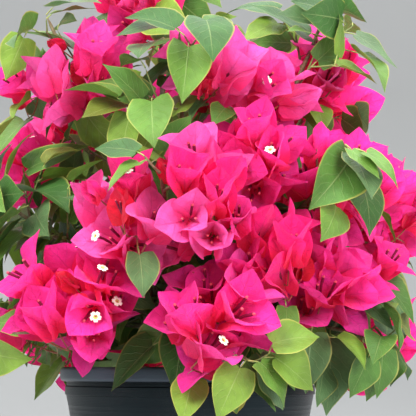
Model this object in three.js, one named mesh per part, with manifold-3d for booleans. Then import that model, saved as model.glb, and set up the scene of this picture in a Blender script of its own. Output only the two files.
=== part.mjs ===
// A bougainvillea in a round plastic nursery pot: a short trunk forks into canes, side boughs
// leave the canes, and each limb ends in a mass of twigs, leaves and three-bract blooms.
// Millimetres, +Z up. The origin is the centre of the pot's flat underside, and -Y is the front.
import * as THREE from "three";
import { mergeVertices } from "three/addons/utils/BufferGeometryUtils.js";
import Module from "manifold-3d";

const wasm = await Module();
wasm.setup();

// Clearances
const GAP = 0.3; // between neighbours that touch
const LIMB_CLEARANCE = 1.2; // between a limb and the leaves of any mass
const SPACE_CLEARANCE = 0.6; // between a mass and the plane that parts it from the next one
const POT_CLEARANCE = 3; // between the pot's rim and what hangs over it
const MERGE_DISTANCE = 1e-3; // vertices of a shape closer than this are one
const FINEST = 0.01; // details of a joined solid smaller than this are smoothed away

// Pot
const POT_HEIGHT = 225;
const RIM_RADIUS = 130;
const BASE_RADIUS = 88;
const LIP_HEIGHT = 14;
const LIP_OVERHANG = 5;
const LIP_ROUND = 4;
const BAND_HEIGHT = 13; // smooth band between the lip and the ledge
const LEDGE = 1.4; // how far the band stands out from the wall below it
const WALL = 2.6;
const FLOOR = 3;
const FOOT_BEVEL = 2;
const POT_SIDES = 32;
const DRAIN_COUNT = 4;
const DRAIN_RADIUS = 6;
const DRAIN_RING = 60;
const DRAIN_SIDES = 8;

// Soil
const SOIL_LEVEL = 201;
const SOIL_FLAT = 40; // radius of the level part round the trunk
const SOIL_DIP = 3; // how much lower the soil lies at the wall

// Trunk
const TRUNK_HEIGHT = 68;
const TRUNK_FOOT_RADIUS = 13;
const TRUNK_TOP_RADIUS = 10.5;
const FLARE = 7; // how much the root flare adds to the foot
const FLARE_SHARE = 0.13; // share of the trunk's height over which the flare dies away
const FLARE_LOBES = 5;
const LOBE_DEPTH = 0.22;
const TRUNK_LEAN = [5, -4]; // how far the top lies from the foot, along X and Y
const TRUNK_SIDES = 10;
const TRUNK_STEPS = 7;

// Limbs: radius at the start and at the tip, and the pull of each end's direction on the curve
const CANE = { start: 4.9, tip: 2.4, pull: 0.38, sides: 5, steps: 7 };
const BOUGH = { start: 3.5, tip: 2.1, pull: 0.36, sides: 5, steps: 4 };
const CANE_TILT = THREE.MathUtils.degToRad(52);
const CANE_FIRST = 0.3; // share of the trunk's height where the lowest cane leaves
const CANE_STAGGER = 0.2; // how much higher every second cane leaves
const BOUGH_STAGGER = 0.07; // how much further along its cane every second bough leaves
const BOUGH_FOLLOW = 0.6; // how much a bough leaves along its cane's direction
const SAMPLE_STEP = 3; // spacing of the points that stand for a limb in the clearance tests

// Tiers of masses, from the pot's rim to the top of the crown. Angles are in degrees from the
// front towards +X. ring and height place the masses, and every second one is lower by twice
// the stagger. half and rise are half their width and height, entry is how steeply the limb
// comes in, climb is how far the stem's end is lifted, droop is how much leaves hang, and leave
// is where its bough leaves the cane. lowest is how low each mass of the skirt may hang: the one
// at the front left stays above the rim, and those to its right hang well over it.
const TIERS = [
  {
    name: "skirt", count: 8, first: -35, ring: 158, height: 266, stagger: 9,
    half: 94, rise: 88, entry: -6, climb: -14, droop: 0.95, leave: 0.13,
    lowest: [232, 176, 178, 196, 184, 198, 190, 222],
  },
  {
    name: "middle", count: 7, first: -10, ring: 168, height: 372, stagger: -15,
    half: 96, rise: 88, entry: 28, climb: 6, droop: 0.45, leave: 0.4,
  },
  {
    name: "upper", count: 6, first: -66, ring: 130, height: 490, stagger: 13,
    half: 96, rise: 90, entry: 58, climb: 16, droop: 0.4,
  },
  {
    name: "top", count: 1, first: -60, ring: 34, height: 574, stagger: 0,
    half: 96, rise: 78, entry: 88, climb: 20, droop: 0.35,
  },
];
const JITTER = { turn: 5, ring: 7, height: 9 }; // the most that a mass is moved from its place
const ENTRY_DEPTH = 0.78; // share of the half width at which a limb ends
const PLANT_SEED = 2347;
const TIER_SEED_STEP = 970; // between the seeds of two tiers, and of two masses of a tier
const MASS_SEED_STEP = 97;

// Twigs of a mass
const STEM = { start: 3.3, tip: 2.2, steps: 3 };
const TWIG = { start: 2, tip: 1.5, steps: 2 };
const TWIG_SIDES = 3;
const TWIG_COUNT = 6;
const TWIG_FROM = 0.1; // share of the stem where the first twig leaves
const TWIG_TO = 0.9;
const TWIG_REACH = 0.52; // share of the way to the edge of the space
const TWIG_LONGEST = 92;
const TWIG_SHORTEST = 18;
const STEM_REACH = 0.72;
const BRANCH_ANGLE = [68, 36]; // degrees from the stem, at its foot and at its tip
const BRANCH_JITTER = 10;
const TURN_JITTER = 0.3; // radians round the stem
const TWIG_LIFT = 0.12; // how much a twig's end bends up, as a share of its length
const GOLDEN_ANGLE = THREE.MathUtils.degToRad(137.5);

// Leaves and blooms
const LEAF = { length: 70, width: 45, thick: 2.2, fold: 5, widest: 0.42, sunk: 0.5 };
const LEAF_PLACES = [0.36, 0.64]; // where leaves leave a twig
const STEM_LEAF_PLACES = [0.2, 0.5, 0.8];
const MOST_LEAVES = 7; // in one mass
const TIP_LEAF_PLACE = 0.97; // where a leaf leaves a twig that has no room for a bloom
const LEAF_ANGLE = 62; // degrees from the twig
const LEAST_DROOP = 0.6; // of its tier's droop
const LEAF_FACING_UP = 0.9; // how much a leaf's upper face looks up rather than outward
const LEAF_FACING_JITTER = 0.5;
const BLOOM = { length: 50, tip: 0.92, tipHeight: 0.5, shoulder: 0.66, shoulderHeight: 0.27 };
const BLOOM_SHOULDER_TURN = THREE.MathUtils.degToRad(37);
const BLOOM_NOTCH = { out: 0.2, height: 0.1 };
const BLOOM_THICKNESS = 0.11; // at the middle, as a share of a bract's length
const BLOOM_BRACTS = 3;
const RING_PER_BRACT = 4; // notch, shoulder, tip and shoulder
const SIZE_TRIES = [1, 0.86, 0.74, 0.64]; // a bloom or leaf that does not fit is tried smaller,
const TURN_TRIES = [0, 75, -75, 150]; // and at each size turned round its twig by these degrees
const LEAN_TRIES = [0.5, 1.1, 0.1]; // and a bloom leaning outward by these shares

const UP = new THREE.Vector3(0, 0, 1);
const STEEP = 0.95; // an axis whose rise is over this share of its length is nearly upright
const radians = THREE.MathUtils.degToRad;

// A Park-Miller generator: the same seed always gives the same plant.
const RANDOM_FACTOR = 48271;
const RANDOM_MODULUS = 2147483647;

function seeded(seed) {
  let state = seed;
  return () => {
    state = (state * RANDOM_FACTOR) % RANDOM_MODULUS;
    return state / RANDOM_MODULUS;
  };
}

// A closed solid from a geometry: shared vertices are merged and collapsed faces dropped.
function solidOf(geometry) {
  geometry.deleteAttribute("normal");
  geometry.deleteAttribute("uv");
  const merged = mergeVertices(geometry, MERGE_DISTANCE);
  const corners = merged.index.array;
  const triVerts = [];
  for (let i = 0; i < corners.length; i += 3) {
    const [a, b, c] = [corners[i], corners[i + 1], corners[i + 2]];
    if (a !== b && b !== c && c !== a) triVerts.push(a, b, c);
  }
  return new wasm.Manifold(
    new wasm.Mesh({
      numProp: 3,
      vertProperties: merged.attributes.position.array,
      triVerts: new Uint32Array(triVerts),
    }),
  );
}

// The largest body of a solid, without slivers: scraps that hold on to nothing are dropped
// and hollows filled.
function largest(solid) {
  const bodies = solid.decompose();
  const best = bodies.reduce((most, body) => (body.volume() > most.volume() ? body : most));
  return best.simplify(FINEST);
}

function geometryOf(solid) {
  const mesh = solid.getMesh();
  return new THREE.BufferGeometry()
    .setAttribute("position", new THREE.BufferAttribute(mesh.vertProperties, 3))
    .setIndex(new THREE.BufferAttribute(mesh.triVerts, 1));
}

// Moves every vertex of a geometry to where place puts it.
function reshape(geometry, place) {
  const position = geometry.getAttribute("position");
  const point = new THREE.Vector3();
  for (let i = 0; i < position.count; i += 1) {
    const moved = place(point.fromBufferAttribute(position, i));
    position.setXYZ(i, moved.x, moved.y, moved.z);
  }
  return geometry;
}

// A closed tube along a curve. radiusAt gives its radius from the share of the length and the
// angle round it.
function tube(curve, steps, sides, radiusAt) {
  const frames = curve.computeFrenetFrames(steps, false);
  return solidOf(
    reshape(new THREE.CylinderGeometry(1, 1, 1, sides, steps), (point) => {
      const share = point.y + 0.5;
      const ring = Math.round(share * steps);
      const radius = Math.hypot(point.x, point.z);
      const angle = Math.atan2(point.x, point.z);
      const out = radiusAt(share, angle) * radius;
      return curve
        .getPointAt(ring / steps)
        .addScaledVector(frames.normals[ring], Math.cos(angle) * out)
        .addScaledVector(frames.binormals[ring], Math.sin(angle) * out);
    }),
  );
}

function taper(size, extra = 0) {
  return (share) => THREE.MathUtils.lerp(size.start, size.tip, share) + extra;
}

// Radius of the pot's outer wall at a height.
const BAND_FOOT = POT_HEIGHT - LIP_HEIGHT - BAND_HEIGHT;
const BAND_RADIUS = RIM_RADIUS - LIP_OVERHANG;
const WALL_TOP_RADIUS = BAND_RADIUS - LEDGE;

function wallRadius(height) {
  return THREE.MathUtils.mapLinear(height, 0, BAND_FOOT, BASE_RADIUS, WALL_TOP_RADIUS);
}

// A profile of [radius, height] pairs turned about the Z axis.
function turned(profile, sides) {
  const points = profile.map(([radius, height]) => new THREE.Vector2(radius, height));
  return solidOf(new THREE.LatheGeometry(points, sides).rotateX(Math.PI / 2));
}

function makePot() {
  const lipFoot = POT_HEIGHT - LIP_HEIGHT;
  const bevel = LIP_ROUND * (1 - Math.SQRT1_2);
  let pot = turned(
    [
      [0, 0],
      [BASE_RADIUS - FOOT_BEVEL, 0],
      [wallRadius(FOOT_BEVEL), FOOT_BEVEL],
      [WALL_TOP_RADIUS, BAND_FOOT],
      [BAND_RADIUS - LEDGE / 2, BAND_FOOT + LEDGE / 2],
      [BAND_RADIUS, lipFoot],
      [RIM_RADIUS - bevel, lipFoot],
      [RIM_RADIUS, lipFoot + LIP_ROUND],
      [RIM_RADIUS, POT_HEIGHT - LIP_ROUND],
      [RIM_RADIUS - bevel, POT_HEIGHT - bevel],
      [RIM_RADIUS - LIP_ROUND, POT_HEIGHT],
      [BAND_RADIUS - WALL + bevel, POT_HEIGHT],
      [BAND_RADIUS - WALL, POT_HEIGHT - LIP_ROUND],
      [wallRadius(SOIL_LEVEL) - WALL, SOIL_LEVEL],
      [wallRadius(FLOOR) - WALL, FLOOR],
      [0, FLOOR],
    ],
    POT_SIDES,
  );
  for (let i = 0; i < DRAIN_COUNT; i += 1) {
    const place = outward(((i + 0.5) / DRAIN_COUNT) * 2 * Math.PI).multiplyScalar(DRAIN_RING);
    const drain = new THREE.CylinderGeometry(DRAIN_RADIUS, DRAIN_RADIUS, 4 * FLOOR, DRAIN_SIDES)
      .rotateX(Math.PI / 2)
      .translate(place.x, place.y, 0);
    pot = pot.subtract(solidOf(drain));
  }
  return pot;
}

function makeSoil() {
  const foot = FLOOR + GAP;
  const edge = SOIL_LEVEL - SOIL_DIP;
  return turned(
    [
      [0, foot],
      [wallRadius(foot) - WALL - GAP, foot],
      [wallRadius(edge) - WALL - GAP, edge],
      [SOIL_FLAT, SOIL_LEVEL],
      [0, SOIL_LEVEL],
    ],
    POT_SIDES,
  );
}

// Unit vector away from the pot's axis, at an angle from the front towards +X.
function outward(angle) {
  return new THREE.Vector3(Math.sin(angle), -Math.cos(angle), 0);
}

// The trunk's centre line: upright at its foot, leaning as it rises.
function trunkCurve() {
  const foot = new THREE.Vector3(0, 0, SOIL_LEVEL + GAP);
  const top = new THREE.Vector3(...TRUNK_LEAN, TRUNK_HEIGHT).add(foot);
  const third = UP.clone().multiplyScalar(TRUNK_HEIGHT / 3);
  return new THREE.CubicBezierCurve3(foot, foot.clone().add(third), top.clone().sub(third), top);
}

function trunkRadius(share, angle, extra) {
  const flare = Math.exp(-share / FLARE_SHARE);
  const lobes = 1 + LOBE_DEPTH * flare * Math.cos(FLARE_LOBES * angle);
  const body = THREE.MathUtils.lerp(TRUNK_FOOT_RADIUS, TRUNK_TOP_RADIUS, share);
  return (body + FLARE * flare) * lobes + extra;
}

function makeTrunk(curve, extra) {
  return tube(curve, TRUNK_STEPS, TRUNK_SIDES, (share, angle) => trunkRadius(share, angle, extra));
}

// A limb's centre line, leaving and arriving in the directions given.
function limbCurve(start, leaving, end, arriving, pull) {
  const length = start.distanceTo(end) * pull;
  return new THREE.CubicBezierCurve3(
    start,
    start.clone().addScaledVector(leaving, length),
    end.clone().addScaledVector(arriving, -length),
    end,
  );
}

// The places of the masses, each moved a little from its tier's ring by the seeded generator.
function placeMasses() {
  const random = seeded(PLANT_SEED);
  const spread = (most) => (2 * random() - 1) * most;
  return TIERS.flatMap((tier, level) =>
    Array.from({ length: tier.count }, (_, i) => {
      const angle = radians(tier.first + (360 * i) / tier.count + spread(JITTER.turn));
      const away = outward(angle);
      const centre = away
        .clone()
        .multiplyScalar(tier.ring + spread(JITTER.ring))
        .addScaledVector(UP, tier.height + spread(JITTER.height))
        .addScaledVector(UP, i % 2 ? -tier.stagger : tier.stagger);
      const inward = away
        .clone()
        .multiplyScalar(-Math.cos(radians(tier.entry)))
        .addScaledVector(UP, -Math.sin(radians(tier.entry)));
      const entry = centre.clone().addScaledVector(inward, tier.half * ENTRY_DEPTH);
      return {
        tier, angle, away, centre, entry,
        lowest: tier.lowest ? tier.lowest[i] : POT_HEIGHT,
        name: tier.count > 1 ? `${tier.name}_${i + 1}` : tier.name,
        arriving: inward.clone().negate(),
        seed: PLANT_SEED + TIER_SEED_STEP * level + MASS_SEED_STEP * (i + 1),
      };
    }),
  );
}

// Planes that part each mass from the others, in proportion to their sizes.
function partSpaces(masses) {
  for (const mass of masses) {
    mass.planes = masses
      .filter((other) => other !== mass)
      .map((other) => {
        const normal = other.centre.clone().sub(mass.centre);
        const share = mass.tier.half / (mass.tier.half + other.tier.half);
        const limit = normal.length() * share - SPACE_CLEARANCE;
        normal.normalize();
        return { normal, limit: limit + normal.dot(mass.centre) };
      });
  }
}

// Canes from the trunk to the upper masses, a leader to the top one, and boughs off the canes.
function placeLimbs(masses, trunk) {
  const limbs = [];
  const ofTier = (name) => masses.filter((mass) => mass.tier.name === name);
  const canes = ofTier("upper").map((mass, i) => {
    const share = CANE_FIRST + CANE_STAGGER * (i % 2);
    const leaving = mass.away
      .clone()
      .multiplyScalar(Math.sin(CANE_TILT))
      .addScaledVector(UP, Math.cos(CANE_TILT));
    const curve = limbCurve(
      trunk.getPointAt(share), leaving, mass.entry, mass.arriving, CANE.pull,
    );
    return { name: `cane_${i + 1}`, size: CANE, curve, parent: null, mass };
  });
  const [topMass] = ofTier("top");
  const leaderFoot = trunk.getPointAt(1).addScaledVector(trunk.getTangentAt(1), GAP);
  limbs.push(...canes, {
    name: "cane_leader",
    size: CANE,
    curve: limbCurve(leaderFoot, trunk.getTangentAt(1), topMass.entry, UP, CANE.pull),
    mass: topMass,
  });
  for (const name of ["skirt", "middle"]) {
    ofTier(name).forEach((mass, i) => {
      const cane = canes.reduce((best, each) =>
        each.mass.away.dot(mass.away) > best.mass.away.dot(mass.away) ? each : best,
      );
      const share = mass.tier.leave + BOUGH_STAGGER * (i % 2);
      const start = cane.curve.getPointAt(share);
      const leaving = mass.entry.clone().sub(start).normalize();
      leaving.addScaledVector(cane.curve.getTangentAt(share), BOUGH_FOLLOW).normalize();
      const curve = limbCurve(start, leaving, mass.entry, mass.arriving, BOUGH.pull);
      limbs.push({ name: `bough_${mass.name}`, size: BOUGH, curve, parent: cane, mass });
    });
  }
  return limbs;
}

// The solids of the limbs, each cut back to stand clear of the limb or trunk that it leaves.
function makeLimbs(limbs, trunk) {
  const wideTrunk = makeTrunk(trunk, GAP);
  for (const limb of limbs) {
    const { sides, steps } = limb.size;
    const whole = tube(limb.curve, steps, sides, taper(limb.size));
    const parent = limb.parent
      ? tube(limb.parent.curve, CANE.steps, CANE.sides, taper(CANE, GAP))
      : wideTrunk;
    limb.solid = largest(whole.subtract(parent));
    const count = Math.ceil(limb.curve.getLength() / SAMPLE_STEP);
    limb.samples = limb.curve.getSpacedPoints(count).map((point, i) => ({
      point,
      radius: taper(limb.size)(i / count) + LIMB_CLEARANCE,
    }));
  }
}

// True where all the points lie in the mass's space and clear of the pot's rim.
function fits(points, mass) {
  const { half, rise } = mass.tier;
  const inside = points.every((point) => {
    const x = (point.x - mass.centre.x) / half;
    const y = (point.y - mass.centre.y) / half;
    const z = (point.z - mass.centre.z) / rise;
    return (
      x * x + y * y + z * z <= 1 &&
      point.z > mass.lowest &&
      mass.planes.every((plane) => plane.normal.dot(point) <= plane.limit)
    );
  });
  if (!inside) return false;
  const above = points.every((point) => point.z > POT_HEIGHT + POT_CLEARANCE);
  if (above) return true;
  const middle = points.reduce((sum, point) => sum.add(point), new THREE.Vector3());
  const side = middle.setZ(0).normalize();
  return points.every((point) => side.dot(point) > RIM_RADIUS + POT_CLEARANCE);
}

// Distance from a point to the edge of the mass's space along a direction.
function reach(point, direction, mass) {
  const scale = new THREE.Vector3(mass.tier.half, mass.tier.half, mass.tier.rise);
  const from = point.clone().sub(mass.centre).divide(scale);
  const along = direction.clone().divide(scale);
  const a = along.lengthSq();
  const b = from.dot(along);
  const c = from.lengthSq() - 1;
  const distances = mass.planes
    .filter((plane) => plane.normal.dot(direction) > 0)
    .map((plane) => (plane.limit - plane.normal.dot(point)) / plane.normal.dot(direction));
  return Math.min((Math.sqrt(Math.max(b * b - a * c, 0)) - b) / a, ...distances);
}

// True where no limb comes closer to the triangles than its clearance.
function clearOfLimbs(geometry, limbs) {
  geometry.computeBoundingSphere();
  const { center, radius } = geometry.boundingSphere;
  const near = limbs
    .flatMap((limb) => limb.samples)
    .filter((sample) => sample.point.distanceTo(center) < radius + sample.radius);
  if (!near.length) return true;
  const flat = geometry.index ? geometry.toNonIndexed() : geometry;
  const position = flat.getAttribute("position");
  const triangle = new THREE.Triangle();
  const closest = new THREE.Vector3();
  for (let i = 0; i < position.count; i += 3) {
    triangle.setFromAttributeAndIndices(position, i, i + 1, i + 2);
    for (const sample of near) {
      triangle.closestPointToPoint(sample.point, closest);
      if (closest.distanceTo(sample.point) < sample.radius) return false;
    }
  }
  return true;
}

// A direction that leaves an axis at an angle, turned round it.
function branchOff(axis, turn, angle) {
  const level = Math.abs(axis.z) > STEEP ? new THREE.Vector3(1, 0, 0) : UP;
  const across = new THREE.Vector3().crossVectors(axis, level).normalize();
  const over = new THREE.Vector3().crossVectors(across, axis);
  return axis
    .clone()
    .multiplyScalar(Math.cos(angle))
    .addScaledVector(across, Math.cos(turn) * Math.sin(angle))
    .addScaledVector(over, Math.sin(turn) * Math.sin(angle));
}

// Axes of a leaf: along it, across it, and out of its upper face, which looks towards facing.
function leafAxes(along, facing) {
  const across = new THREE.Vector3().crossVectors(facing, along).normalize();
  const normal = new THREE.Vector3().crossVectors(along, across);
  return [along, across, normal];
}

function placed(origin, [u, v, w], x, y, z) {
  return origin.clone().addScaledVector(u, x).addScaledVector(v, y).addScaledVector(w, z);
}

// An eight-sided lens, folded a little along its midrib, widest below the middle.
function leafGeometry(root, axes, scale) {
  const length = LEAF.length * scale;
  return reshape(new THREE.OctahedronGeometry(1), (point) => {
    const shares = { "-1": 0, 0: LEAF.widest, 1: 1 };
    const x = length * shares[Math.round(point.x)] - LEAF.sunk;
    const y = (point.y * LEAF.width * scale) / 2;
    const z = Math.abs(point.y) * LEAF.fold * scale + (point.z * LEAF.thick) / 2;
    return placed(root, axes, x, y, z);
  });
}

// Three bracts in a cup: a flat ball of 12 sectors whose rim is drawn out to their outlines.
function bloomGeometry(root, axes, scale) {
  const length = BLOOM.length * scale;
  const sectors = BLOOM_BRACTS * RING_PER_BRACT;
  const third = (2 * Math.PI) / BLOOM_BRACTS;
  const rim = [
    [third / 2, BLOOM_NOTCH.out, BLOOM_NOTCH.height],
    [third - BLOOM_SHOULDER_TURN, BLOOM.shoulder, BLOOM.shoulderHeight],
    [third, BLOOM.tip, BLOOM.tipHeight],
    [third + BLOOM_SHOULDER_TURN, BLOOM.shoulder, BLOOM.shoulderHeight],
  ];
  return reshape(new THREE.SphereGeometry(1, sectors, 2), (point) => {
    const radius = Math.hypot(point.x, point.z);
    if (radius < 0.5) {
      return placed(root, axes, 0, 0, (point.y * BLOOM_THICKNESS * length) / 2);
    }
    const angle = Math.atan2(-point.z, point.x) + 2 * Math.PI;
    const sector = Math.round((angle / (2 * Math.PI)) * sectors) % sectors;
    const [turn, out, height] = rim[sector % RING_PER_BRACT];
    const whole = turn + third * Math.floor(sector / RING_PER_BRACT);
    return placed(
      root, axes, Math.cos(whole) * out * length, Math.sin(whole) * out * length, height * length,
    );
  });
}

function pointsOf(geometry) {
  const position = geometry.getAttribute("position");
  return Array.from({ length: position.count }, (_, i) =>
    new THREE.Vector3().fromBufferAttribute(position, i),
  );
}

// One mass: a stem from its limb's tip, twigs off the stem, a bloom at each end, and leaves.
// What would leave the space, or touch a limb, the pot or another leaf, is tried smaller and
// then skipped.
function growMass(mass, limbs) {
  const random = seeded(mass.seed);
  const spread = (most) => (2 * random() - 1) * most;
  const twigs = [];
  const blades = [];

  function addTwig(curve, size) {
    twigs.push({ curve, solid: tube(curve, size.steps, TWIG_SIDES, taper(size)) });
  }

  // Adds the first of the choices of axes that fits, at the largest size that does.
  function addBlade(shape, root, choices, twig) {
    const others = twigs.filter((each) => each !== twig).map((each) => each.solid);
    for (const scale of SIZE_TRIES) {
      for (const axes of choices) {
        const geometry = shape(root, axes, scale);
        if (!fits(pointsOf(geometry), mass) || !clearOfLimbs(geometry, limbs)) continue;
        const solid = solidOf(geometry);
        if ([...others, ...blades].some((other) => !solid.intersect(other).isEmpty())) continue;
        blades.push(solid);
        return 1;
      }
    }
    return 0;
  }

  function addLeaf(twig, share, turn) {
    const axis = twig.curve.getTangentAt(share);
    const angle = radians(LEAF_ANGLE + spread(BRANCH_JITTER));
    const droop = mass.tier.droop * THREE.MathUtils.lerp(LEAST_DROOP, 1, random());
    const facing = mass.away
      .clone()
      .addScaledVector(UP, LEAF_FACING_UP + spread(LEAF_FACING_JITTER));
    const choices = TURN_TRIES.map((more) => {
      const along = branchOff(axis, turn + radians(more), angle);
      return leafAxes(along.addScaledVector(UP, -droop).normalize(), facing);
    });
    return addBlade(leafGeometry, twig.curve.getPointAt(share), choices, twig);
  }

  function addBloom(twig) {
    const spin = random() * 2 * Math.PI;
    const choices = LEAN_TRIES.flatMap((lean) => {
      const axis = twig.curve.getTangentAt(1).addScaledVector(mass.away, lean).normalize();
      return TURN_TRIES.map((more) => {
        const along = branchOff(axis, spin + radians(more), Math.PI / 2);
        return [along, new THREE.Vector3().crossVectors(axis, along), axis];
      });
    });
    return addBlade(bloomGeometry, twig.curve.getPointAt(1), choices, twig);
  }

  const start = mass.entry.clone().addScaledVector(mass.arriving, GAP);
  const far = mass.centre
    .clone()
    .addScaledVector(mass.arriving, reach(mass.centre, mass.arriving, mass) * STEM_REACH)
    .addScaledVector(UP, mass.tier.climb);
  const bend = mass.centre.clone().sub(start).dot(mass.arriving);
  const middle = start.clone().addScaledVector(mass.arriving, bend);
  const stem = new THREE.QuadraticBezierCurve3(start, middle, far);
  addTwig(stem, STEM);
  const firstTurn = random() * 2 * Math.PI;

  for (let i = 0; i < TWIG_COUNT; i += 1) {
    const share = THREE.MathUtils.lerp(TWIG_FROM, TWIG_TO, i / (TWIG_COUNT - 1));
    const angle = THREE.MathUtils.lerp(...BRANCH_ANGLE, share) + spread(BRANCH_JITTER);
    const turn = firstTurn + i * GOLDEN_ANGLE + spread(TURN_JITTER);
    const root = stem.getPointAt(share);
    const direction = branchOff(stem.getTangentAt(share), turn, radians(angle));
    const length = Math.min(reach(root, direction, mass) * TWIG_REACH, TWIG_LONGEST);
    if (length < TWIG_SHORTEST) continue;
    const half = root.clone().addScaledVector(direction, length / 2);
    const end = root.clone().addScaledVector(direction, length);
    end.addScaledVector(UP, TWIG_LIFT * length);
    const twig = new THREE.QuadraticBezierCurve3(root, half, end);
    const line = twig.getSpacedPoints(Math.ceil(length / SAMPLE_STEP)).slice(1);
    const touches = limbs.some((limb) =>
      limb.samples.some(({ point, radius }) =>
        line.some((each) => each.distanceTo(point) < radius + TWIG.start),
      ),
    );
    if (!touches && fits(line, mass)) addTwig(twig, TWIG);
  }

  const bare = twigs.filter((twig) => !addBloom(twig));
  let leaves = bare.reduce((count, twig) => count + addLeaf(twig, TIP_LEAF_PLACE, firstTurn), 0);
  twigs.forEach((twig, i) => {
    const places = i === 0 ? STEM_LEAF_PLACES : LEAF_PLACES;
    places.forEach((share, j) => {
      if (leaves < MOST_LEAVES) leaves += addLeaf(twig, share, firstTurn + (i + j) * GOLDEN_ANGLE);
    });
  });
  const bodies = [...twigs.map((twig) => twig.solid), ...blades];
  return {
    solid: largest(bodies.reduce((joined, body) => joined.add(body))),
    counts: { twigs: twigs.length, blooms: twigs.length - bare.length, leaves },
  };
}

const FINISHES = {
  pot: { color: 0x2a3034, roughness: 0.42, metalness: 0 },
  soil: { color: 0x4a3a2c, roughness: 0.95, metalness: 0 },
  bark: { color: 0x6d5a45, roughness: 0.85, metalness: 0 },
  cane: { color: 0x5a6238, roughness: 0.7, metalness: 0 },
  blossom: { color: 0xd81b6a, roughness: 0.6, metalness: 0 },
};

const group = new THREE.Group();

function addNode(name, solid, finish, facts = {}) {
  const mesh = new THREE.Mesh(geometryOf(solid), new THREE.MeshStandardMaterial(FINISHES[finish]));
  mesh.name = name;
  mesh.userData = facts;
  group.add(mesh);
}

addNode("pot", makePot(), "pot");
addNode("soil", makeSoil(), "soil");

const trunk = trunkCurve();
addNode("trunk", makeTrunk(trunk, 0), "bark");

const masses = placeMasses();
partSpaces(masses);
const limbs = placeLimbs(masses, trunk);
makeLimbs(limbs, trunk);
for (const limb of limbs) {
  addNode(limb.name, limb.solid, limb.parent ? "cane" : "bark");
}
for (const mass of masses) {
  const { solid, counts } = growMass(mass, limbs);
  addNode(`foliage_${mass.name}`, solid, "blossom", counts);
}

export default group;
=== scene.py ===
"""The looks of a bougainvillea bush in its nursery pot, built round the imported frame.

Sizes are in millimetres, and every mesh is written in metres. The plant grows by the part's own
rule: the same masses, canes, boughs, stems and twigs, and on them finer shoots, leaves and blooms.
"""

from math import atan, cos, exp, pi, radians, sin, sqrt
from types import SimpleNamespace as Record

import bmesh
import bpy
import numpy as np
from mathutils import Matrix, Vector, noise
from mathutils.bvhtree import BVHTree


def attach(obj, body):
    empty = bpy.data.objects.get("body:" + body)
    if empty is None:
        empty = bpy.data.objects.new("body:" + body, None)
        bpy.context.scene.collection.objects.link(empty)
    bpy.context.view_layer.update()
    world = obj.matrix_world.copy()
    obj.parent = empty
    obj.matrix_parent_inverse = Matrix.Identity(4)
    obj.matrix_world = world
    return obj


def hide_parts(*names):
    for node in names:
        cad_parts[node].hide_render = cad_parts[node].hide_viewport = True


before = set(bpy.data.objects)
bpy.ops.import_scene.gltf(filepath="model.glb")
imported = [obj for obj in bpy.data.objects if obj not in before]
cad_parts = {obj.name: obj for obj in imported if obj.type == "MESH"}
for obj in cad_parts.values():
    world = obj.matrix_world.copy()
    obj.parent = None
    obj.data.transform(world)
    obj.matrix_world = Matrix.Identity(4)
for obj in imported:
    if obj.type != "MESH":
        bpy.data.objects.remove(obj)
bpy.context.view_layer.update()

MM = 0.001
UP = np.array([0.0, 0.0, 1.0])
FULL_TURN = 2 * pi
BODY = "root"

# The photograph's view
PHOTO_SIZE = 416
RIM_ROW = 367  # the row of the pot's rim, which is level with the camera
FOCAL_PIXELS = 1230
CAMERA_DISTANCE = 1250
CAMERA_ASIDE = 18

# Pot, as in the part
POT_HEIGHT = 225
RIM_RADIUS = 130
BASE_RADIUS = 88
LIP_HEIGHT = 14
LIP_OVERHANG = 5
LIP_ROUND = 4
BAND_HEIGHT = 13
LEDGE = 1.4
WALL = 2.6
FLOOR = 3
FOOT_BEVEL = 2
DRAIN_COUNT = 4
DRAIN_RADIUS = 6
DRAIN_RING = 60
DRAIN_SIDES = 32
DRAIN_CUT = 9  # half the height of a drain's cutter
LIP_FOOT = POT_HEIGHT - LIP_HEIGHT
BAND_FOOT = LIP_FOOT - BAND_HEIGHT
BAND_RADIUS = RIM_RADIUS - LIP_OVERHANG
WALL_TOP_RADIUS = BAND_RADIUS - LEDGE
POT_SIDES = 144
POT_CREASE = radians(38)  # edges sharper than this stay sharp
RIDGE_PITCH = 4.4  # moulding lines round the wall
RIDGE_DEPTH = 0.1
LINE_PITCH = 1.5  # the finest lines, in relief alone

# Soil and trunk, as in the part
SOIL_LEVEL = 201
SOIL_DIP = 3
SOIL_SIDES = 160
SOIL_RINGS = 70
SOIL_FLAT = 40  # radius within which the soil is level
SOIL_SUNK = 1.6  # how far its bumps begin below the plain solid's top
CHIP_COUNT = 620
CHIP_SIZE = (1.2, 3.4)
CHIP_LEAST = (0.9, 0.6, 0.4)  # proportions of a chip
CHIP_MOST = (1.9, 1.1, 0.7)
CHIP_SUNK = 1.4
CHIP_CLEAR = (18, 5)  # how far chips keep off the trunk's axis and the pot's wall
PERLITE_SHARE = 0.06
TRUNK_HEIGHT = 68
TRUNK_FOOT_RADIUS = 13
TRUNK_TOP_RADIUS = 10.5
TRUNK_LEAN = (5, -4)
FLARE = 7
FLARE_SHARE = 0.13
FLARE_LOBES = 5
LOBE_DEPTH = 0.22
TRUNK_RINGS = 90
TRUNK_SIDES = 72
TRUNK_RELIEF = 0.8

# Limbs, as in the part
GAP = 0.3
CANE = Record(start=4.9, tip=2.4, pull=0.38, sides=14)
BOUGH = Record(start=3.5, tip=2.1, pull=0.36, sides=12)
CANE_TILT = radians(52)
CANE_FIRST = 0.3
CANE_STAGGER = 0.2
BOUGH_STAGGER = 0.07
BOUGH_FOLLOW = 0.6
LIMB_RELIEF = 0.07  # of the radius
COLLAR = Record(swell=0.4, length=5)  # where a limb leaves its parent
KNOTS = Record(swell=0.16, pitch=31, sharpness=24)
RING_PITCH = 2.4

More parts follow.
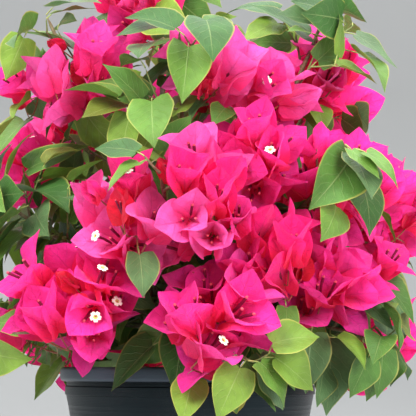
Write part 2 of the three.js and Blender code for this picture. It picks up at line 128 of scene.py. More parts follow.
# Tiers of masses, as in the part. leafy is the share of its leaves that a tier keeps.
TIERS = [
    Record(
        name="skirt", count=8, first=-35, ring=158, height=266, stagger=9, half=94, rise=88,
        entry=-6, climb=-14, droop=0.95, leave=0.13, leafy=1,
        lowest=(232, 176, 178, 196, 184, 198, 190, 222),
    ),
    Record(
        name="middle", count=7, first=-10, ring=168, height=372, stagger=-15, half=96, rise=88,
        entry=28, climb=6, droop=0.45, leave=0.4, leafy=0.9,
    ),
    Record(
        name="upper", count=6, first=-66, ring=130, height=490, stagger=13, half=96, rise=90,
        entry=58, climb=16, droop=0.4, leafy=0.7,
    ),
    Record(
        name="top", count=1, first=-60, ring=34, height=574, stagger=0, half=96, rise=78,
        entry=88, climb=20, droop=0.35, leafy=0.65,
    ),
]
JITTER = Record(turn=5, ring=7, height=9)
ENTRY_DEPTH = 0.78
SPACE_CLEARANCE = 0.6
PLANT_SEED = 2347
TIER_SEED_STEP = 970
MASS_SEED_STEP = 97

# Clusters of blooms that the photograph shows, each as x, y, z and radius, and the three that
# each mass has where it shows none
SHOWN_CLUSTERS = (
    (-104, -160, 290, 66), (26, -195, 272, 56), (132, -135, 304, 52), (78, -172, 316, 54),
    (-48, -192, 356, 60), (12, -195, 368, 62), (62, -150, 412, 54), (142, -120, 398, 60),
    (188, -85, 334, 42), (-105, -90, 512, 56), (-182, -30, 505, 40), (16, -155, 500, 48),
    (76, -110, 490, 52), (142, -50, 528, 46), (-50, -45, 590, 56), (-165, 10, 425, 54),
    (-205, -60, 372, 26), (-170, -90, 262, 34),
)
HIDDEN_CLUSTERS = (
    Record(out=34, up=12, radius=60, stray=6),
    Record(out=30, up=-20, radius=36, stray=40),
    Record(out=40, up=10, radius=40, stray=46),
)

# Stems and first twigs, as in the part
TWIG_COUNT = 6
TWIG_FROM = 0.1
TWIG_TO = 0.9
TWIG_REACH = 0.52
TWIG_LONGEST = 92
TWIG_SHORTEST = 18
TWIG_LIFT = 0.12
STEM_REACH = 0.72
BRANCH_ANGLE = (68, 36)
BRANCH_JITTER = 10
TURN_JITTER = 0.3
GOLDEN_ANGLE = radians(137.5)
STEEP = 0.95

# Kinds of twig: radii, mesh, tone (its place in TWIG_TONES), until (the least share of it that is
# drawn), and where leaves and shoots leave. A stem starts as thick as the tip of its limb.
STEM = Record(
    level=0, tip=1.5, sides=8, rings=15, tone=0, until=0.86,
    leaves=(0.2, 0.4, 0.6, 0.8, 0.93, 0.99), shoots=(0.25, 0.5, 0.75),
)
TWIG = Record(
    level=1, start=1.45, tip=0.9, sides=7, rings=11, tone=0, until=0.86,
    leaves=(0.3, 0.52, 0.76, 0.99), shoots=(0.34, 0.58, 0.82),
)
SHOOT = Record(
    level=2, start=0.95, tip=0.6, sides=6, rings=8, tone=1, until=0, leaves=(0.3, 0.54, 0.78, 0.99)
)
RACHIS = Record(
    level=2, start=0.95, tip=0.65, sides=6, rings=8, tone=3, until=1, leaves=(0.45, 0.85)
)
PETIOLE = Record(level=3, start=0.75, tip=0.6, sides=5, rings=5, tone=2, until=1, length=(7, 13))
PEDUNCLE = Record(
    level=4, start=0.55, tip=0.75, sides=5, rings=6, tone=3, until=1, length=(12, 24)
)
THORN = Record(level=4, start=0.7, tip=0.12, sides=5, rings=5, tone=0, until=1, length=(6, 13))
LIMB = Record(shoots=(0.42, 0.58, 0.74, 0.9))
CORE = Record(centre=np.array([0, 0, 400]), size=np.array([150, 150, 150]))  # amid the masses
CLOSED_TIP = 0.02  # radius of a tube's last ring, which closes it
SHOOT_REACH = 0.5
SHOOT_LONGEST = 54
SHOOT_SHORTEST = 14
SHOOT_ANGLE = 52
THORNY = 0.45  # share of the leaf axils that bear a thorn
THORN_ANGLE = (55, 80)
THORN_HOOK = 0.25  # how far its tip bends down, of its length
POT_CLEARANCE = 3
REACH_SLACK = 1.02  # how far the finest tips may pass the edge of a mass's space
LINE_SHARES = np.linspace(0.2, 1, 9)  # places on a twig that a bloom's shoot may grow from
RACHIS_MARKS = np.linspace(0.2, 1, 6)  # places on such a shoot where its room is tested
SHOOT_MARKS = np.array([[0.4], [0.6], [0.8], [1.0]])

# Blades of life size. A form says where a blade is widest, how wide its foot is as a share of
# that, how it narrows to its tip, and how far its two lobes reach back beside the stalk.
LEAF_FORM = Record(widest=0.3, foot=0.74, fall=1.7, taper=1.3, lobes=0.055)
BRACT_FORM = Record(widest=0.4, foot=0.76, fall=2.05, taper=0.95, lobes=0.09)
BLADE_TIP = 0.012  # the least half width
LEAF_GRID = (11, 7)  # points along and across, also of a bract while its place is sought
BRACT_GRID = (17, 13)
LEAF_LENGTH = (42, 76)
LEAF_WIDTH = 0.75  # of its length
LEAF_ANGLE = (48, 74)
LEAF_TURNS = (0, 45, -45, 90, -90, 135, -135, 180)
LAST_LEAF = 0.9  # leaves beyond this share of a twig carry on its line
LAST_ANGLE = (12, 38)
LAST_TILT = 0.16  # how much farther such a leaf leans at each try
LEAFINESS = 0.95
LEAVES_IN_CLUSTER = 0.32  # chance that a leaf may keep its place within a cluster
CLUSTER_FACE = 0.9  # share of a cluster's radius that other leaves keep clear
BRACT_LENGTH = (43, 54)
BRACT_WIDTH = 0.82
STRAIGHT = 1e-4  # keeps a bract's bend from being nought

# Room round blades: places along the midrib where it is tested, and how near others may come
LEAF_MARKS = np.linspace(0.08, 0.97, 6)
LEAF_BODY = 3 * len(LEAF_MARKS) - 2  # points of a blade_body
BRACT_MARKS = np.array([0.4, 0.7, 1.0])
BRACT_BODY = 3 * (3 * len(BRACT_MARKS) - 2)
BLADE_EDGE = 0.35  # how far from the midrib the places beside it lie, of the width
BLADE_BERTH = 3.6  # how near the places on two blades may come
BLADE_WINDOW = 90  # blades farther off aren't tested
LEAF_IN_BLOOM = 0.6  # how near a leaf may come to a bloom's heart, as a share of its body
TWIG_IN_BLOOM = 0.5

# Blooms. A bloom's heart is the middle of its bracts.
BLOOM_SPACING = 27.5
BLOOM_TURNS = 14  # how many turns on its stalk a bloom tries
BLOOM_BODY = 0.46  # radius of a bloom's body, as a share of its bracts' length
HEART_TRIES = 1800
HEART_INSET = 18  # how far within a cluster's edge the heart of a bloom lies
HEART_CORE = 0.3  # no hearts nearer the middle, as a share of the way out
HEART_RISE = 0.45  # how far a heart lies above its bloom's foot, as a share of the bracts' length
NEAR_BLOOM = 34  # a shoot whose tip is nearer a bloom bears no lone one
TWIG_BERTH = 8  # how near another twig may pass a bloom's heart
OPEN_FLOWERS = 0.035  # share of the tubes that end in an open flower
YOUNG_BLOOMS = 0.1
YOUNG_SIZE = (0.4, 0.62)
YOUNG_SPACING = 0.7
YOUNG_REDS = 0.7  # share of the young blooms that are red
TONE_DRIFT = 0.22  # how far the tones of a cluster's blooms differ
LONE_BLOOMS = 0.1  # share of the leafy shoots that end in one young bloom
LONE_REACH = 26
TUBE_LENGTH = (20, 26)
TUBE_RINGS = np.array([0.0, 0.14, 0.45, 0.92, 0.98, 1.0])[:, None]
TUBE_RADII = np.array([0.8, 1.5, 1.45, 1.65, 1.3, CLOSED_TIP])
TUBE_SIDES = 5
TUBE_FOOT = 0.2  # where on its bract's midrib a tube is fixed
TUBE_SPLIT = 3  # rings of the dark part of a tube, before its pale tip
STAR_RADIUS = 5.6
STAR_POINTS = 30
STAR_RINGS = ((0.02, -0.9), (0.22, -0.2), (0.38, 0.1), (0.75, 0.5), (1.0, 0.0))
STAR_SPLIT = 2  # rings of an open flower's heart

# Names of the two maps: a blade's own places, and a strip of the square for each material
BLADE_MAP = "Blade"
STRIP_MAP = "OFBake"
STRIP_MARGIN = 0.04

# Plain base colours. A leaf tone also has its weight on inner leaves, and the gain on outer ones.
LEAF_TONES = {
    "fresh": ((0.155, 0.265, 0.036), 0.10, 0.35),
    "light": ((0.11, 0.225, 0.036), 0.22, 0.20),
    "mid": ((0.07, 0.165, 0.03), 0.34, 0),
    "deep": ((0.042, 0.115, 0.026), 0.34, -0.26),
    "grey": ((0.085, 0.165, 0.062), 0.20, 0),
    "olive": ((0.135, 0.16, 0.027), 0.08, 0),
    "yellow": ((0.36, 0.32, 0.045), 0.012, 0),
}
# A bract's colour and its throat's. The last tone is for young blooms, and the shares are of the
# others.
BRACT_TONES = {
    "magenta": ((0.98, 0.034, 0.34), (0.88, 0.014, 0.08)),
    "pink": ((0.98, 0.062, 0.41), (0.94, 0.022, 0.17)),
    "lilac": ((0.98, 0.115, 0.47), (0.94, 0.035, 0.22)),
    "crimson": ((0.94, 0.020, 0.24), (0.80, 0.012, 0.055)),
    "red": ((0.76, 0.012, 0.05), (0.64, 0.010, 0.03)),
}
BRACT_SHARES = (0.42, 0.30, 0.12, 0.16)
# Speckled surfaces: two colours, scale of the noise, roughness and height of the relief
TWIG_TONES = {
    "brown": ((0.14, 0.10, 0.055), (0.20, 0.17, 0.10), 260.0, 0.62, 0.0003),
    "green": ((0.13, 0.17, 0.05), (0.19, 0.22, 0.08), 260.0, 0.62, 0.0003),
    "petiole": ((0.22, 0.30, 0.08), (0.30, 0.30, 0.10), 260.0, 0.62, 0.0003),
    "peduncle": ((0.20, 0.055, 0.035), (0.30, 0.11, 0.05), 260.0, 0.62, 0.0003),
}
SOIL_TONES = {
    "potting_soil": ((0.028, 0.018, 0.012), (0.085, 0.055, 0.035), 160.0, 0.95, 0.001),
    "bark_chips": ((0.07, 0.042, 0.026), (0.17, 0.11, 0.07), 240.0, 0.9, 0.0008),
    "perlite": ((0.62, 0.6, 0.55), (0.8, 0.78, 0.74), 300.0, 0.9, 0.0004),
}
FLOWER_TONES = {
    "tube": ((0.13, 0.004, 0.026), (0.22, 0.009, 0.046), 500.0, 0.6, 0.0002),
    "tube_tip": ((0.40, 0.03, 0.07), (0.56, 0.075, 0.10), 500.0, 0.6, 0.0002),
    "petal": ((0.70, 0.68, 0.58), (0.84, 0.83, 0.76), 400.0, 0.6, 0.0002),
    "petal_heart": ((0.36, 0.46, 0.09), (0.56, 0.60, 0.20), 400.0, 0.6, 0.0002),
}


def unit(vector):
    return vector / np.linalg.norm(vector, axis=-1, keepdims=True)


def distances(points, point=0):
    return np.linalg.norm(points - point, axis=-1)


def lerp(start, end, share):
    return start + (end - start) * share


def smoothstep(value, low, high):
    share = np.clip((value - low) / (high - low), 0, 1)
    return share * share * (3 - 2 * share)


class Seeded:
    """A Park-Miller generator, the same as the part's."""

    def __init__(self, seed):
        self.state = seed

    def draw(self):
        self.state = self.state * 48271 % 2147483647
        return self.state / 2147483647

    def spread(self, most):
        return (2 * self.draw() - 1) * most


class Curve:
    """A Bezier curve of three or four points, read by the share of its length."""

    DIVISIONS = 200

    def __init__(self, *points):
        self.points = np.array(points, float)
        self.steps = np.linspace(0, 1, self.DIVISIONS + 1)
        walked = distances(np.diff(self.bezier(self.points, self.steps), axis=0))
        self.walked = np.concatenate([[0], np.cumsum(walked)])
        self.length = self.walked[-1]

    @staticmethod
    def bezier(points, steps):
        while len(points) > 1:
            points = [lerp(a, b, steps[:, None]) for a, b in zip(points, points[1:])]
        return points[0]

    def steps_at(self, shares):
        return np.interp(np.atleast_1d(shares) * self.length, self.walked, self.steps)

    def places(self, shares):
        return self.bezier(self.points, self.steps_at(shares))

    def tangents(self, shares):
        return unit(self.bezier(np.diff(self.points, axis=0), self.steps_at(shares)))

    def place(self, share):
        return self.places(share)[0]

    def tangent(self, share):
        return self.tangents(share)[0]


def grid_faces(index):
    """The quads of grids of points, whose numbers are given as (patches, rows, columns)."""
    corners = (index[:, :-1, :-1], index[:, :-1, 1:], index[:, 1:, 1:], index[:, 1:, :-1])
    return np.stack(corners, axis=-1).reshape(-1, 4)


def add_object(name, data):
    made = bpy.data.objects.new(name, data)
    bpy.context.collection.objects.link(made)
    return made


class Piece:
    """Gathers grids of quads into one mesh. Each grid has its own places on the blade or tube."""

    def __init__(self):
        self.points = []
        self.faces = []
        self.places = []
        self.tones = []
        self.count = 0

    def add(self, points, tones, closed=False):
        """points is (patches, rows, columns, 3), and tones gives each patch's material. A closed
        grid is a tube, whose last column meets its first."""
        patches, rows, columns = points.shape[:3]
        index = np.arange(patches * rows * columns).reshape(patches, rows, columns) + self.count
        self.count += index.size
        if closed:
            index = np.concatenate([index, index[:, :, :1]], axis=2)
        columns = index.shape[2]
        grid = np.meshgrid(np.linspace(0, 1, columns), np.linspace(0, 1, rows))
        corners = grid_faces(np.arange(rows * columns).reshape(1, rows, columns))
        places = np.stack(grid, axis=-1).reshape(-1, 2)[corners]
        self.points.append(points.reshape(-1, 3))
        self.faces.append(grid_faces(index))
        self.places.append(np.tile(places, (patches, 1, 1)))
        self.tones.append(np.repeat(np.broadcast_to(tones, patches), len(corners)))

    def mesh(self, name):
        """The bare mesh, smooth and in metres."""
        mesh = bpy.data.meshes.new(name)
        points = np.concatenate(self.points) * MM
        mesh.from_pydata(points.tolist(), [], np.concatenate(self.faces).tolist())
        mesh.shade_smooth()
        return mesh

    def write(self, name, paints, slot, nodes):
        """Makes the mesh and object, which rides on the plant and stands for the nodes."""
        mesh = self.mesh(name)
        places = np.concatenate(self.places)
        tones = np.concatenate(self.tones)
        mesh.polygons.foreach_set("material_index", tones.astype(np.int32))
        for paint in paints:
            mesh.materials.append(paint)
        mesh.uv_layers.new(name=BLADE_MAP).uv.foreach_set("vector", places.ravel())
        inset = lerp(STRIP_MARGIN, 1 - STRIP_MARGIN, places[:, :, 0])
        places[:, :, 0] = (tones[:, None] + inset) / len(paints)
        mesh.uv_layers.new(name=STRIP_MAP).uv.foreach_set("vector", places.ravel())
        piece = add_object(name, mesh)
        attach(piece, BODY)
        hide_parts(*nodes)
        return piece


def tube_points(middles, radii, sides):
    """Rings round lines of points. middles is (tubes, rings, 3) and radii (tubes, rings)."""
    tangents = unit(np.gradient(middles, axis=1))
    main = np.abs(tangents).mean(axis=1)
    level = np.eye(3)[np.argmin(main, axis=1)][:, None]
    across = unit(np.cross(tangents, level))
    over = np.cross(across, tangents)
    angles = np.linspace(0, FULL_TURN, sides, endpoint=False)[:, None]
    around = across[:, :, None] * np.cos(angles) + over[:, :, None] * np.sin(angles)
    return middles[:, :, None] + around * radii[..., None, None]


# The growth rule


def outward(angle):
    """Unit vector away from the pot's axis, at an angle from the front towards +X."""
    return np.array([sin(angle), -cos(angle), 0])


def branch_off(axis, turn, angle):
    """A direction that leaves an axis at an angle, turned round it."""
    level = np.array([1.0, 0, 0]) if abs(axis[2]) > STEEP else UP
    across = unit(np.cross(axis, level))
    over = np.cross(across, axis)
    aside = across * cos(turn) + over * sin(turn)
    return axis * cos(angle) + aside * sin(angle)


def arched(root, way, length):
    """The three points of a twig that lifts towards its tip."""
    return root, root + way * length / 2, root + way * length + UP * TWIG_LIFT * length


def trunk_curve():
    foot = np.array([0, 0, SOIL_LEVEL + GAP])
    top = foot + [*TRUNK_LEAN, TRUNK_HEIGHT]
    third = UP * TRUNK_HEIGHT / 3
    return Curve(foot, foot + third, top - third, top)


def place_masses():
    random = Seeded(PLANT_SEED)
    masses = []
    for level, tier in enumerate(TIERS):
        for i in range(tier.count):
            turn = tier.first + 360 * i / tier.count + random.spread(JITTER.turn)
            away = outward(radians(turn))
            centre = away * (tier.ring + random.spread(JITTER.ring))
            centre = centre + UP * (tier.height + random.spread(JITTER.height))
            centre = centre + UP * (-tier.stagger if i % 2 else tier.stagger)
            entry = radians(tier.entry)
            arriving = away * cos(entry) + UP * sin(entry)
            mass = Record(
                tier=tier, away=away, centre=centre, arriving=arriving,
                entry=centre - arriving * tier.half * ENTRY_DEPTH,
                size=np.array([tier.half, tier.half, tier.rise]),
                name=f"{tier.name}_{i + 1}" if tier.count > 1 else tier.name,
                lowest=tier.lowest[i] if tier.name == "skirt" else POT_HEIGHT,
                seed=PLANT_SEED + TIER_SEED_STEP * level + MASS_SEED_STEP * (i + 1),
            )
            masses.append(mass)
    return masses


def part_spaces(masses):
    """Gives each mass the planes that part its space from the others'."""
    for mass in masses:
        others = [other for other in masses if other is not mass]
        apart = np.array([other.centre - mass.centre for other in others])
        share = np.array([mass.tier.half / (mass.tier.half + other.tier.half) for other in others])
        far = distances(apart)
        mass.normals = apart / far[:, None]
        mass.limits = far * share - SPACE_CLEARANCE + mass.normals @ mass.centre


def reach(point, direction, mass):
    """Distance from a point to the edge of the mass's space along a direction."""
    start = (point - mass.centre) / mass.size
    along = direction / mass.size
    a, b, c = along @ along, start @ along, start @ start - 1
    out = (sqrt(max(b * b - a * c, 0)) - b) / a
    speed = mass.normals @ direction
    ahead = speed > 0
    rooms = (mass.limits - mass.normals @ point)[ahead] / speed[ahead]
    return min([out, *rooms])


def limb_to(mass, name, size, start, leaving, arriving):
    """A cane or bough from a point to where it enters its mass."""
    pull = np.linalg.norm(mass.entry - start) * size.pull
    curve = Curve(start, start + leaving * pull, mass.entry - arriving * pull, mass.entry)
    return Record(name=name, size=size, curve=curve, mass=mass)


def place_limbs(masses, trunk):
    """Canes to the upper masses, the leader to the top one, and boughs off the nearest canes."""
    canes = []
    for i, mass in enumerate(m for m in masses if m.tier.name == "upper"):
        leaving = mass.away * sin(CANE_TILT) + UP * cos(CANE_TILT)
        start = trunk.place(CANE_FIRST + CANE_STAGGER * (i % 2))
        canes.append(limb_to(mass, f"cane_{i + 1}", CANE, start, leaving, mass.arriving))
    rise = trunk.tangent(1)
    leader = limb_to(masses[-1], "cane_leader", CANE, trunk.place(1) + rise * GAP, rise, UP)
    limbs = [*canes, leader]
    for name in ("skirt", "middle"):
        for i, mass in enumerate(m for m in masses if m.tier.name == name):
            cane = max(canes, key=lambda each: each.mass.away @ mass.away).curve
            share = mass.tier.leave + BOUGH_STAGGER * (i % 2)
            start = cane.place(share)
            leaving = unit(unit(mass.entry - start) + cane.tangent(share) * BOUGH_FOLLOW)
            limbs.append(limb_to(mass, f"bough_{mass.name}", BOUGH, start, leaving, mass.arriving))
    return limbs


def nearest(masses, point):
    return min(masses, key=lambda mass: np.linalg.norm(mass.centre - point))


def place_clusters(masses):
    """Clusters of blooms as centre, radius and nearest mass: those that the photograph shows, and
    three in each mass with none."""
    rng = np.random.default_rng(PLANT_SEED)
    clusters = [(np.array(centre, float), radius) for *centre, radius in SHOWN_CLUSTERS]
    shown = [nearest(masses, centre) for centre, _ in clusters]
    for mass in masses:
        if any(mass is each for each in shown):
            continue
        for size in HIDDEN_CLUSTERS:
            aside = rng.normal(0, 1, 3) * size.stray
            centre = mass.centre + mass.arriving * size.out + UP * size.up + aside
            clusters.append((centre, size.radius * rng.uniform(0.85, 1.1)))
    return [(centre, radius, nearest(masses, centre)) for centre, radius in clusters]


class Plant:
    """What has grown so far, and the spaces and clusters of blooms that it grows in.

    lines are the points that a bloom's shoot may grow from, and owners their twigs. hearts and
    bodies are the blooms' middles and radii. leaf_bodies and bract_bodies are points on the blades,
    and trees their faces, a leaf's or a whole bloom's, each near its tree_place.
    """

    def __init__(self, masses):
        self.centres = np.array([mass.centre for mass in masses] + [CORE.centre])
        self.sizes = np.array([mass.size for mass in masses] + [CORE.size])
        self.clusters = place_clusters(masses)
        self.cluster_centres = np.array([centre for centre, _, _ in self.clusters])
        self.cluster_radii = np.array([radius for _, radius, _ in self.clusters])
        self.cluster_aways = np.array([mass.away for _, _, mass in self.clusters])
        self.twigs = []
        self.leaves = []
        self.blooms = []
        self.lines = np.zeros((0, 3))
        self.owners = []
        self.hearts = np.zeros((0, 3))
        self.bodies = np.zeros(0)
        self.leaf_bodies = np.zeros((0, LEAF_BODY, 3))
        self.bract_bodies = np.zeros((0, BRACT_BODY, 3))
        self.trees = []
        self.tree_places = np.zeros((0, 3))

    def has_room(self, points, mass):
        """True where points lie in the crown's reach, clear of the pot and as high as the mass."""
        points = np.atleast_2d(points)
        apart = (points[:, None] - self.centres) / self.sizes
        within = ((apart**2).sum(axis=2) <= REACH_SLACK**2).any(axis=1)
        low = points[:, 2] < POT_HEIGHT + POT_CLEARANCE
        near = np.hypot(points[:, 0], points[:, 1]) < RIM_RADIUS + POT_CLEARANCE
        return within.all() and not (low & near).any() and points[:, 2].min() > mass.lowest

    def clear_of_blooms(self, points, share=1):
        """True where points keep off the blooms' bodies, or off this share of their radius."""
        return (distances(points[:, None], self.hearts) > self.bodies * share).all()

    def crowded(self, points):
        """True where points of the leaves and bracts grown so far lie close to these."""
        leaves = self.leaf_bodies[distances(self.leaf_bodies[:, 0], points[0]) < BLADE_WINDOW]
        bracts = self.bract_bodies[distances(self.hearts, points[0]) < BLADE_WINDOW]
        others = np.concatenate([leaves.reshape(-1, 3), bracts.reshape(-1, 3)])
        return (distances(points[:, None], others) < BLADE_BERTH).any()

    def cuts(self, tree, place, own=None):
        """How many faces of the leaves and bracts grown so far, but for those of the own tree,
        cut through those of a tree."""
        near = np.flatnonzero(distances(self.tree_places, place) < BLADE_WINDOW)
        return sum(len(tree.overlap(self.trees[i])) for i in near if i != own)

    def hides_cluster(self, point):
        """True where a point lies in a cluster of blooms or before it, seen from outside."""
        apart = point - self.cluster_centres
        ahead = np.maximum((apart * self.cluster_aways).sum(axis=1), 0)
        aside = distances(apart, self.cluster_aways * ahead[:, None])
        return (aside < self.cluster_radii * CLUSTER_FACE).any()

    def add_tree(self, tree, place):
        self.trees.append(tree)
        self.tree_places = np.vstack([self.tree_places, place])

    def add_twig(self, twig):
        """Keeps a twig, and points on its line that others may grow from."""
        self.lines = np.concatenate([self.lines, twig.curve.places(LINE_SHARES)])
        self.owners += [(twig, share) for share in LINE_SHARES]
        self.twigs.append(twig)


def grow_twig(mass, kind, points, turn):
    """A twig. It is drawn until the last thing that grows on it, and a shoot with nothing isn't."""
    return Record(mass=mass, kind=kind, curve=Curve(*points), turn=turn, **vars(kind))


def blade_body(blade, marks):
    """Places on a blade, along its bent midrib and towards both edges, where its room is tested."""
    along, across, normal = blade.axes
    slopes = blade.pitch + blade.bend * marks
    reached = (np.sin(slopes) - sin(blade.pitch)) / blade.bend
    risen = (cos(blade.pitch) - np.cos(slopes)) / blade.bend
    line = blade.root + (along * reached[:, None] + normal * risen[:, None]) * blade.length
    edge = across * blade.width * BLADE_EDGE
    return np.concatenate([line, line[:-1] + edge, line[:-1] - edge])


def blade_tree(blades, form):
    """The faces of leaves or bracts, with which crossings are found."""
    points = blade_points(blades, form, LEAF_GRID)
    faces = grid_faces(np.arange(points[..., 0].size).reshape(points.shape[:3]))
    return BVHTree.FromPolygons(points.reshape(-1, 3).tolist(), faces.tolist())


def add_leaf(plant, twig, share, turn, rng):
    """A leaf on its stalk. It turns round the twig until it finds room, and is else skipped."""
    mass = twig.mass
    axis = twig.curve.tangent(share)
    root = twig.curve.place(share)
    ends = share > LAST_LEAF
    angle = radians(rng.uniform(*(LAST_ANGLE if ends else LEAF_ANGLE)))
    droop = mass.tier.droop * rng.uniform(0.5, 1.1)
    facing = mass.away + UP * rng.uniform(0.3, 1.5) + rng.normal(0, 0.42, 3)
    stalk = rng.uniform(*PETIOLE.length)
    length = rng.uniform(*LEAF_LENGTH) * lerp(1, 0.8, twig.level / 2)
    leaf = Record(
        mass=mass, level=twig.level, share=share, length=length,
        width=length * LEAF_WIDTH * rng.uniform(0.88, 1.1),
        pitch=rng.uniform(-0.25, 0.15), bend=rng.uniform(-0.9, -0.1),
        fold=rng.uniform(0.08, 0.42), cup=rng.uniform(-0.35, 0.25), twist=rng.normal(0, 0.22),
        wave=rng.uniform(0.6, 2.2), waves=rng.uniform(7, 12), phase=rng.uniform(0, FULL_TURN),
        crinkle=0.18,
    )
    may_hide = rng.random() < LEAVES_IN_CLUSTER
    for tries, more in enumerate(LEAF_TURNS):
        tilt = tries * LAST_TILT if ends else 0
        way = branch_off(axis, turn + radians(more), angle + tilt)
        leaf.root = root + way * stalk
        along = unit(way - UP * droop)
        across = unit(np.cross(facing, along))
        leaf.axes = np.array([along, across, np.cross(along, across)])
        body = blade_body(leaf, LEAF_MARKS)
        if plant.hides_cluster(body[len(LEAF_MARKS) // 2]) and not may_hide:
            continue
        if not plant.has_room(body[: len(LEAF_MARKS)], mass):
            continue
        if not plant.clear_of_blooms(body, LEAF_IN_BLOOM) or plant.crowded(body):
            continue
        tree = blade_tree([leaf], LEAF_FORM)
        if not plant.cuts(tree, leaf.root):
            break
    else:
        return
    plant.leaves.append(leaf)
    plant.add_tree(tree, leaf.root)
    plant.leaf_bodies = np.concatenate([plant.leaf_bodies, body[None]])
    bend = root + way * stalk * 0.5 + UP * 0.6
    plant.twigs.append(grow_twig(mass, PETIOLE, (root, bend, leaf.root), turn))
    twig.until = max(twig.until, share)


def add_thorn(plant, twig, share, turn, rng):
    """A slender hooked thorn just above a leaf."""
    root = twig.curve.place(share)
    way = branch_off(twig.curve.tangent(share), turn, radians(rng.uniform(*THORN_ANGLE)))
    length = rng.uniform(*THORN.length)
    end = root + way * length - UP * length * THORN_HOOK
    if plant.has_room([end], twig.mass) and plant.clear_of_blooms(end[None], TWIG_IN_BLOOM):
        points = (root, root + way * length * 0.6, end)
        plant.twigs.append(grow_twig(twig.mass, THORN, points, turn))


def bracts_of(bloom, spin, rng):
    """Three bracts in a cup."""
    first = branch_off(bloom.axis, spin, pi / 2)
    second = np.cross(bloom.axis, first)
    openness = rng.uniform(0.12, 0.3) if bloom.young else rng.uniform(0.3, 0.85)
    bend = rng.uniform(0.3, 0.6) if bloom.young else -rng.uniform(-0.1, 0.75)
    bracts = []
    for i in range(3):
        turn = i * FULL_TURN / 3 + rng.normal(0, 0.1)
        radial = first * cos(turn) + second * sin(turn)
        open_by = openness + rng.normal(0, 0.1)
        along = bloom.axis * cos(open_by) + radial * sin(open_by)
        normal = bloom.axis * sin(open_by) - radial * cos(open_by)
        size = bloom.size * rng.uniform(0.93, 1.05)
        bract = Record(
            root=bloom.base + radial * 1.1, radial=radial, length=size,
            axes=np.array([along, np.cross(normal, along), normal]),
            width=size * BRACT_WIDTH * rng.uniform(0.92, 1.08),
            pitch=0.0, bend=bend + rng.normal(0, 0.15) + STRAIGHT,
            fold=rng.uniform(0.12, 0.38), cup=rng.uniform(0.0, 0.5), twist=rng.normal(0, 0.15),
            wave=rng.uniform(1.2, 3.6) * size / 40, waves=rng.uniform(6, 11),
            phase=rng.uniform(0, FULL_TURN), crinkle=0.55 * size / 40,
        )
        bracts.append(bract)
    return bracts


def turn_bloom(plant, bloom, rng):
    """Turns a bloom on its stalk to where its bracts cut the fewest others."""
    fewest = plant.cuts(plant.trees[bloom.tree], bloom.base, bloom.tree)
    for spin in rng.uniform(0, FULL_TURN, BLOOM_TURNS):
        bracts = bracts_of(bloom, spin, rng)
        tree = blade_tree(bracts, BRACT_FORM)
        cuts = plant.cuts(tree, bloom.base, bloom.tree)
        if cuts < fewest:
            fewest, bloom.bracts, plant.trees[bloom.tree] = cuts, bracts, tree
    bodies = [blade_body(bract, BRACT_MARKS) for bract in bloom.bracts]
    plant.bract_bodies[bloom.number] = np.concatenate(bodies)


def pack_hearts(centre, radius, rng):
    """Places for the hearts of a cluster's blooms, evenly spread in it."""
    kept = []
    for spot in rng.uniform(-1, 1, (HEART_TRIES, 3)):
        if not HEART_CORE < np.linalg.norm(spot) < 1:
            continue
        heart = centre + spot * (radius - HEART_INSET)
        if all(np.linalg.norm(heart - other) > BLOOM_SPACING for other in kept):
            kept.append(heart)
    return kept


def add_bloom(plant, mass, heart, face, young, tone, rng):
    """A bloom on its stalk, which a shoot joins to the nearest twig."""
    size = rng.uniform(*BRACT_LENGTH) * (rng.uniform(*YOUNG_SIZE) if young else 1)
    base = heart - face * size * HEART_RISE
    spacing = BLOOM_SPACING * (YOUNG_SPACING if young else 1)
    if (distances(plant.hearts, heart) < spacing).any():
        return
    if not plant.has_room([base, heart, base + face * size * 0.8], mass):
        return
    foot = base - face * rng.uniform(*PEDUNCLE.length)
    apart = distances(plant.lines, foot)
    root = plant.lines[apart.argmin()]
    owner, share = plant.owners[apart.argmin()]
    if (distances(plant.lines, heart) < TWIG_BERTH).any():
        return
    if apart.min() > SHOOT_SHORTEST:
        sag = (root + foot) / 2 - (mass.away * 0.15 + UP * 0.1) * apart.min()
        rachis = grow_twig(mass, RACHIS, (root, sag, foot), rng.uniform(0, 6))
        if not plant.clear_of_blooms(rachis.curve.places(RACHIS_MARKS), TWIG_IN_BLOOM):
            return
        plant.add_twig(rachis)
        root = foot
    owner.until = max(owner.until, share)
    bend = root + (base - root) * 0.5 - UP * 1.5
    plant.twigs.append(grow_twig(mass, PEDUNCLE, (root, bend, base), 0))
    bloom = Record(
        mass=mass, base=base, axis=face, size=size, young=young, tone=tone, drift=rng.random(),
        number=len(plant.blooms), tree=len(plant.trees),
    )
    bloom.bracts = bracts_of(bloom, 0, rng)
    plant.add_tree(blade_tree(bloom.bracts, BRACT_FORM), base)
    plant.bract_bodies = np.concatenate([plant.bract_bodies, np.zeros((1, BRACT_BODY, 3))])
    plant.hearts = np.vstack([plant.hearts, heart])
    plant.bodies = np.append(plant.bodies, size * BLOOM_BODY)
    plant.blooms.append(bloom)
    turn_bloom(plant, bloom, rng)


def bloom_clusters(plant, rng):
    """Fills each cluster with blooms that face outwards and up."""
    for centre, radius, mass in plant.clusters:
        behind = centre - mass.away * radius * 0.55 - UP * radius * 0.35
        tone = rng.random()
        for heart in pack_hearts(centre, radius, rng):
            face = unit(unit(heart - behind) + UP * rng.uniform(0.1, 0.7) + rng.normal(0, 0.28, 3))
            add_bloom(plant, mass, heart, face, rng.random() < YOUNG_BLOOMS, tone, rng)
    # Each turns once more, now that all its neighbours are there.
    for bloom in plant.blooms:
        turn_bloom(plant, bloom, rng)


